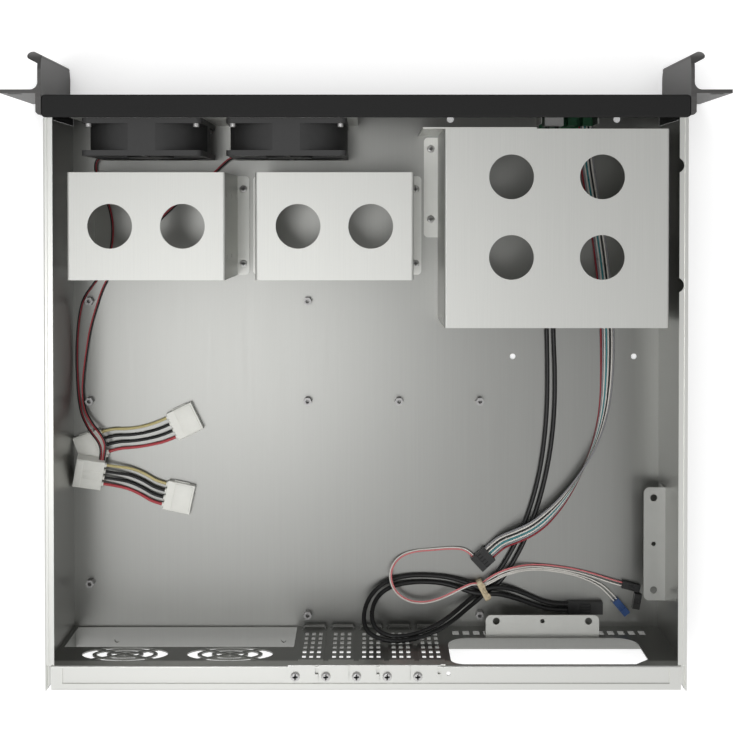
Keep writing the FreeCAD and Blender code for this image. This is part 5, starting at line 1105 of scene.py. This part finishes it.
@dataclass
class TwistTie:
    """A flat paper-covered wire that goes round the bundle and is twisted above it."""

    middle: tuple[float, float] = TIE_MIDDLE
    turn: float = TIE_TURN
    base: float = FLOOR_TOP
    opening: float = 14.2
    height: float = 9.8
    strip: float = 0.8
    width: float = 4.2
    corner: float = 2.4
    corner_steps: int = 6
    least_corner: float = 0.6
    tail: float = 6.0
    tail_headings: tuple[float, float] = (25.0, 155.0)
    tail_lift: float = 0.5
    tail_rise: float = 0.9
    tail_section: tuple[float, float] = (1.1, 0.3)
    tail_steps: int = 18
    tail_turns: float = 0.75

    def build(self) -> bpy.types.Object:
        """Builds the tie in place of its plain loop.

        Returns:
            The tie.
        """
        shape = bmesh.new()
        self._band(shape)
        for heading in self.tail_headings:
            self._tail(shape, heading)
        turned = Matrix.Rotation(math.radians(self.turn), 4, "Z")
        place = Matrix.Translation((*self.middle, self.base)) @ turned
        bmesh.ops.transform(shape, matrix=Matrix.Scale(MM, 4) @ place, verts=shape.verts[:])
        tie = add_object("cable_tie_strip", mesh_from("cable_tie_strip", shape, 50.0), TIE_PAPER)
        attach(tie, CASE_BODY)
        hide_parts("cable_tie")
        log.info("cable_tie: strip and twisted ends")
        return tie

    def _loop(self, inset: float) -> list[tuple[float, float]]:
        """Gives the tie's rounded outline at some depth inside its outer face.

        Args:
            inset: Distance inside the outer face.

        Returns:
            Points across and up.
        """
        half = self.opening / 2 + self.strip - inset
        low, high, radius = inset, self.height - inset, max(self.least_corner, self.corner - inset)
        points = []
        for across, level, start in ((half, high, 0), (-half, high, 90), (-half, low, 180), (half, low, 270)):
            for step in range(self.corner_steps):
                angle = math.radians(start + step * 90 / (self.corner_steps - 1))
                points.append((across - math.copysign(radius, across) + radius * math.cos(angle),
                               level + (radius if level == low else -radius) + radius * math.sin(angle)))
        return points

    def _band(self, shape: BMesh) -> None:
        """Adds the band: a wide strip with a thicker middle.

        Args:
            shape: The bmesh that receives it, in millimetres.
        """
        outer, inner = self._loop(0.0), self._loop(self.strip)
        # For each corner of the strip's section: its face, its place across, and how far it is pressed in.
        section = ((outer, -0.5, 0.35), (outer, -0.14, 0.12), (outer, 0.0, 0.0), (outer, 0.14, 0.12),
                   (outer, 0.5, 0.35), (inner, 0.5, 0.0), (inner, -0.5, 0.0))
        rings = []
        for number in range(len(outer)):
            ring = []
            for loop, along, pressed in section:
                blend = pressed / self.strip
                across = loop[number][0] + (inner[number][0] - loop[number][0]) * blend
                level = loop[number][1] + (inner[number][1] - loop[number][1]) * blend
                ring.append(shape.verts.new((across, along * self.width, level)))
            rings.append(ring)
        join_rings(shape, rings + rings[:1])

    def _tail(self, shape: BMesh, heading: float) -> None:
        """Adds one twisted end that lies on top of the band.

        Args:
            shape: The bmesh that receives it, in millimetres.
            heading: Its direction in degrees.
        """
        ahead = Matrix.Rotation(math.radians(heading), 3, "Z") @ Vector((1.0, 0.0, 0.0))
        across, up, rings = Vector((-ahead.y, ahead.x, 0.0)), Vector((0.0, 0.0, 1.0)), []
        half_width, half_thickness = self.tail_section
        for number in range(self.tail_steps + 1):
            share = number / self.tail_steps
            level = self.height + self.tail_lift + self.tail_rise * math.sin(share * 2)
            middle = ahead * (share * self.tail) + up * level
            angle = share * math.tau * self.tail_turns
            wide = (across * math.cos(angle) + up * math.sin(angle)) * half_width
            thick = (up * math.cos(angle) - across * math.sin(angle)) * half_thickness
            rings.append([shape.verts.new(middle + wide * one + thick * two)
                          for one, two in ((1, 1), (-1, 1), (-1, -1), (1, -1))])
        join_rings(shape, rings)
        shape.faces.new(rings[0])
        shape.faces.new(rings[-1])


# ---------------------------------------------------------------- studio


@dataclass(frozen=True)
class Lamp:
    """A square soft lamp. Its place, aim and size are in metres, and its power is in watts."""

    name: str
    place: Point
    aim: Point
    size: float
    power: float
    mirrored: bool

    def hang(self) -> None:
        """Adds the lamp to the scene. Bare metal shows its reflection only if it is mirrored."""
        light = bpy.data.lights.new(self.name, "AREA")
        light.size = self.size
        light.energy = self.power
        lamp = add_object(self.name, light)
        lamp.location = self.place
        lamp.rotation_euler = (Vector(self.aim) - Vector(self.place)).to_track_quat("-Z", "Y").to_euler()
        lamp.visible_glossy = self.mirrored


LAMPS = [
    Lamp("overhead lamp", (0.3, -0.1, 2.6), (0.0, 0.0, 0.0), 2.4, 34.0, False),
    Lamp("front lamp", (0.6, -2.4, 1.4), (0.0, 0.0, 0.05), 1.4, 14.0, False),
    Lamp("sheen lamp", (0.37, 0.21, 2.6), (0.1, -0.03, 0.0), 0.7, 5.0, True),
]


@dataclass
class Studio:
    """Camera, lamps, world and floor."""

    camera_place: Point = (-1.3, -124.9, 970.2)
    camera_tilt: float = -0.0161
    lens: float = 65.5
    sensor: float = 36.0
    shift_y: float = -0.177
    clip_end: float = 50.0
    floor_size: float = 6.0
    floor_gap: float = 0.0005
    floor_glow: float = 0.35
    front_glow: float = 0.28
    rear_glow: float = 0.72

    def build(self) -> None:
        """Builds the whole studio."""
        self._camera()
        for lamp in LAMPS:
            lamp.hang()
        self._world()
        self._floor()
        bpy.context.scene.view_settings.view_transform = "Standard"

    def _camera(self) -> None:
        """Puts the camera straight above the case."""
        camera = bpy.data.cameras.new("camera")
        camera.sensor_width = self.sensor
        camera.lens = self.lens
        camera.shift_y = self.shift_y
        camera.clip_end = self.clip_end
        thing = add_object("camera", camera)
        thing.location = Vector(self.camera_place) * MM
        thing.rotation_euler = (self.camera_tilt, 0.0, math.pi)
        bpy.context.scene.camera = thing

    def _world(self) -> None:
        """Lights the scene from all round, more from the rear, and is white to the camera itself.

        Bare metal mirrors the light, not the white.
        """
        world = bpy.data.worlds.new("studio")
        bpy.context.scene.world = world
        world.use_nodes = True
        links = world.node_tree.links
        background = world.node_tree.nodes["Background"]
        heading = add_node(world, "ShaderNodeTexCoord")
        split = add_node(world, "ShaderNodeSeparateXYZ")
        slope = add_node(world, "ShaderNodeMapRange", From_Min=-0.2, From_Max=0.35,
                         To_Min=self.front_glow, To_Max=self.rear_glow)
        rays = add_node(world, "ShaderNodeLightPath")
        seen = add_node(world, "ShaderNodeMath")
        seen.operation = "MAXIMUM"
        strength = add_node(world, "ShaderNodeMapRange", To_Max=1.0)
        links.new(heading.outputs["Generated"], split.inputs["Vector"])
        links.new(split.outputs["Y"], slope.inputs["Value"])
        links.new(slope.outputs["Result"], strength.inputs["To Min"])
        links.new(rays.outputs["Is Camera Ray"], seen.inputs[0])
        links.new(rays.outputs["Is Transmission Ray"], seen.inputs[1])
        links.new(seen.outputs[0], strength.inputs["Value"])
        background.inputs["Color"].default_value = (1.0, 1.0, 1.0, 1.0)
        links.new(strength.outputs["Result"], background.inputs["Strength"])

    def _floor(self) -> None:
        """Lays a pale floor that keeps the case's shadow."""
        shape = bmesh.new()
        bmesh.ops.create_grid(shape, x_segments=1, y_segments=1, size=self.floor_size / 2)
        bmesh.ops.translate(shape, verts=shape.verts[:], vec=(0.0, 0.0, -self.floor_gap))
        floor = add_object("floor", mesh_from("floor", shape))
        material = bpy.data.materials.new("pale floor")
        material.use_nodes = True
        links = material.node_tree.links
        shader = material.node_tree.nodes["Principled BSDF"]
        shader.inputs["Base Color"].default_value = (0.86, 0.86, 0.86, 1.0)
        shader.inputs["Roughness"].default_value = 0.9
        shader.inputs["Specular IOR Level"].default_value = 0.0
        rays = add_node(material, "ShaderNodeLightPath")
        lift = add_node(material, "ShaderNodeMath")
        lift.operation = "MULTIPLY"
        lift.inputs[1].default_value = self.floor_glow
        links.new(rays.outputs["Is Camera Ray"], lift.inputs[0])
        shader.inputs["Emission Color"].default_value = (1.0, 1.0, 1.0, 1.0)
        links.new(lift.outputs[0], shader.inputs["Emission Strength"])
        floor.data.materials.append(material)


# ---------------------------------------------------------------- assembly


def dress_nodes(nodes: dict[str, bpy.types.Object]) -> None:
    """Gives every CAD node its finish.

    Args:
        nodes: The nodes by name.
    """
    for name, finish in NODE_FINISHES.items():
        node = nodes[name]
        node.data.materials.clear()
        node.data.materials.append(finish.material())
        log.info("%s: %s", name, finish.name)


def main() -> None:
    """Builds the looks of the case, piece by piece."""
    logging.basicConfig(level=logging.INFO, format="%(name)s: %(message)s")
    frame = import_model()
    nodes = frame["nodes"]
    dress_nodes(nodes)
    for screws in SCREWS:
        screws.build(nodes[screws.name])
    for plug in PLUGS:
        PlugDetails(plug).build()
    build_header_plugs()
    TwistTie().build()
    build_leads()
    Studio().build()


if __name__ == "__main__":
    main()
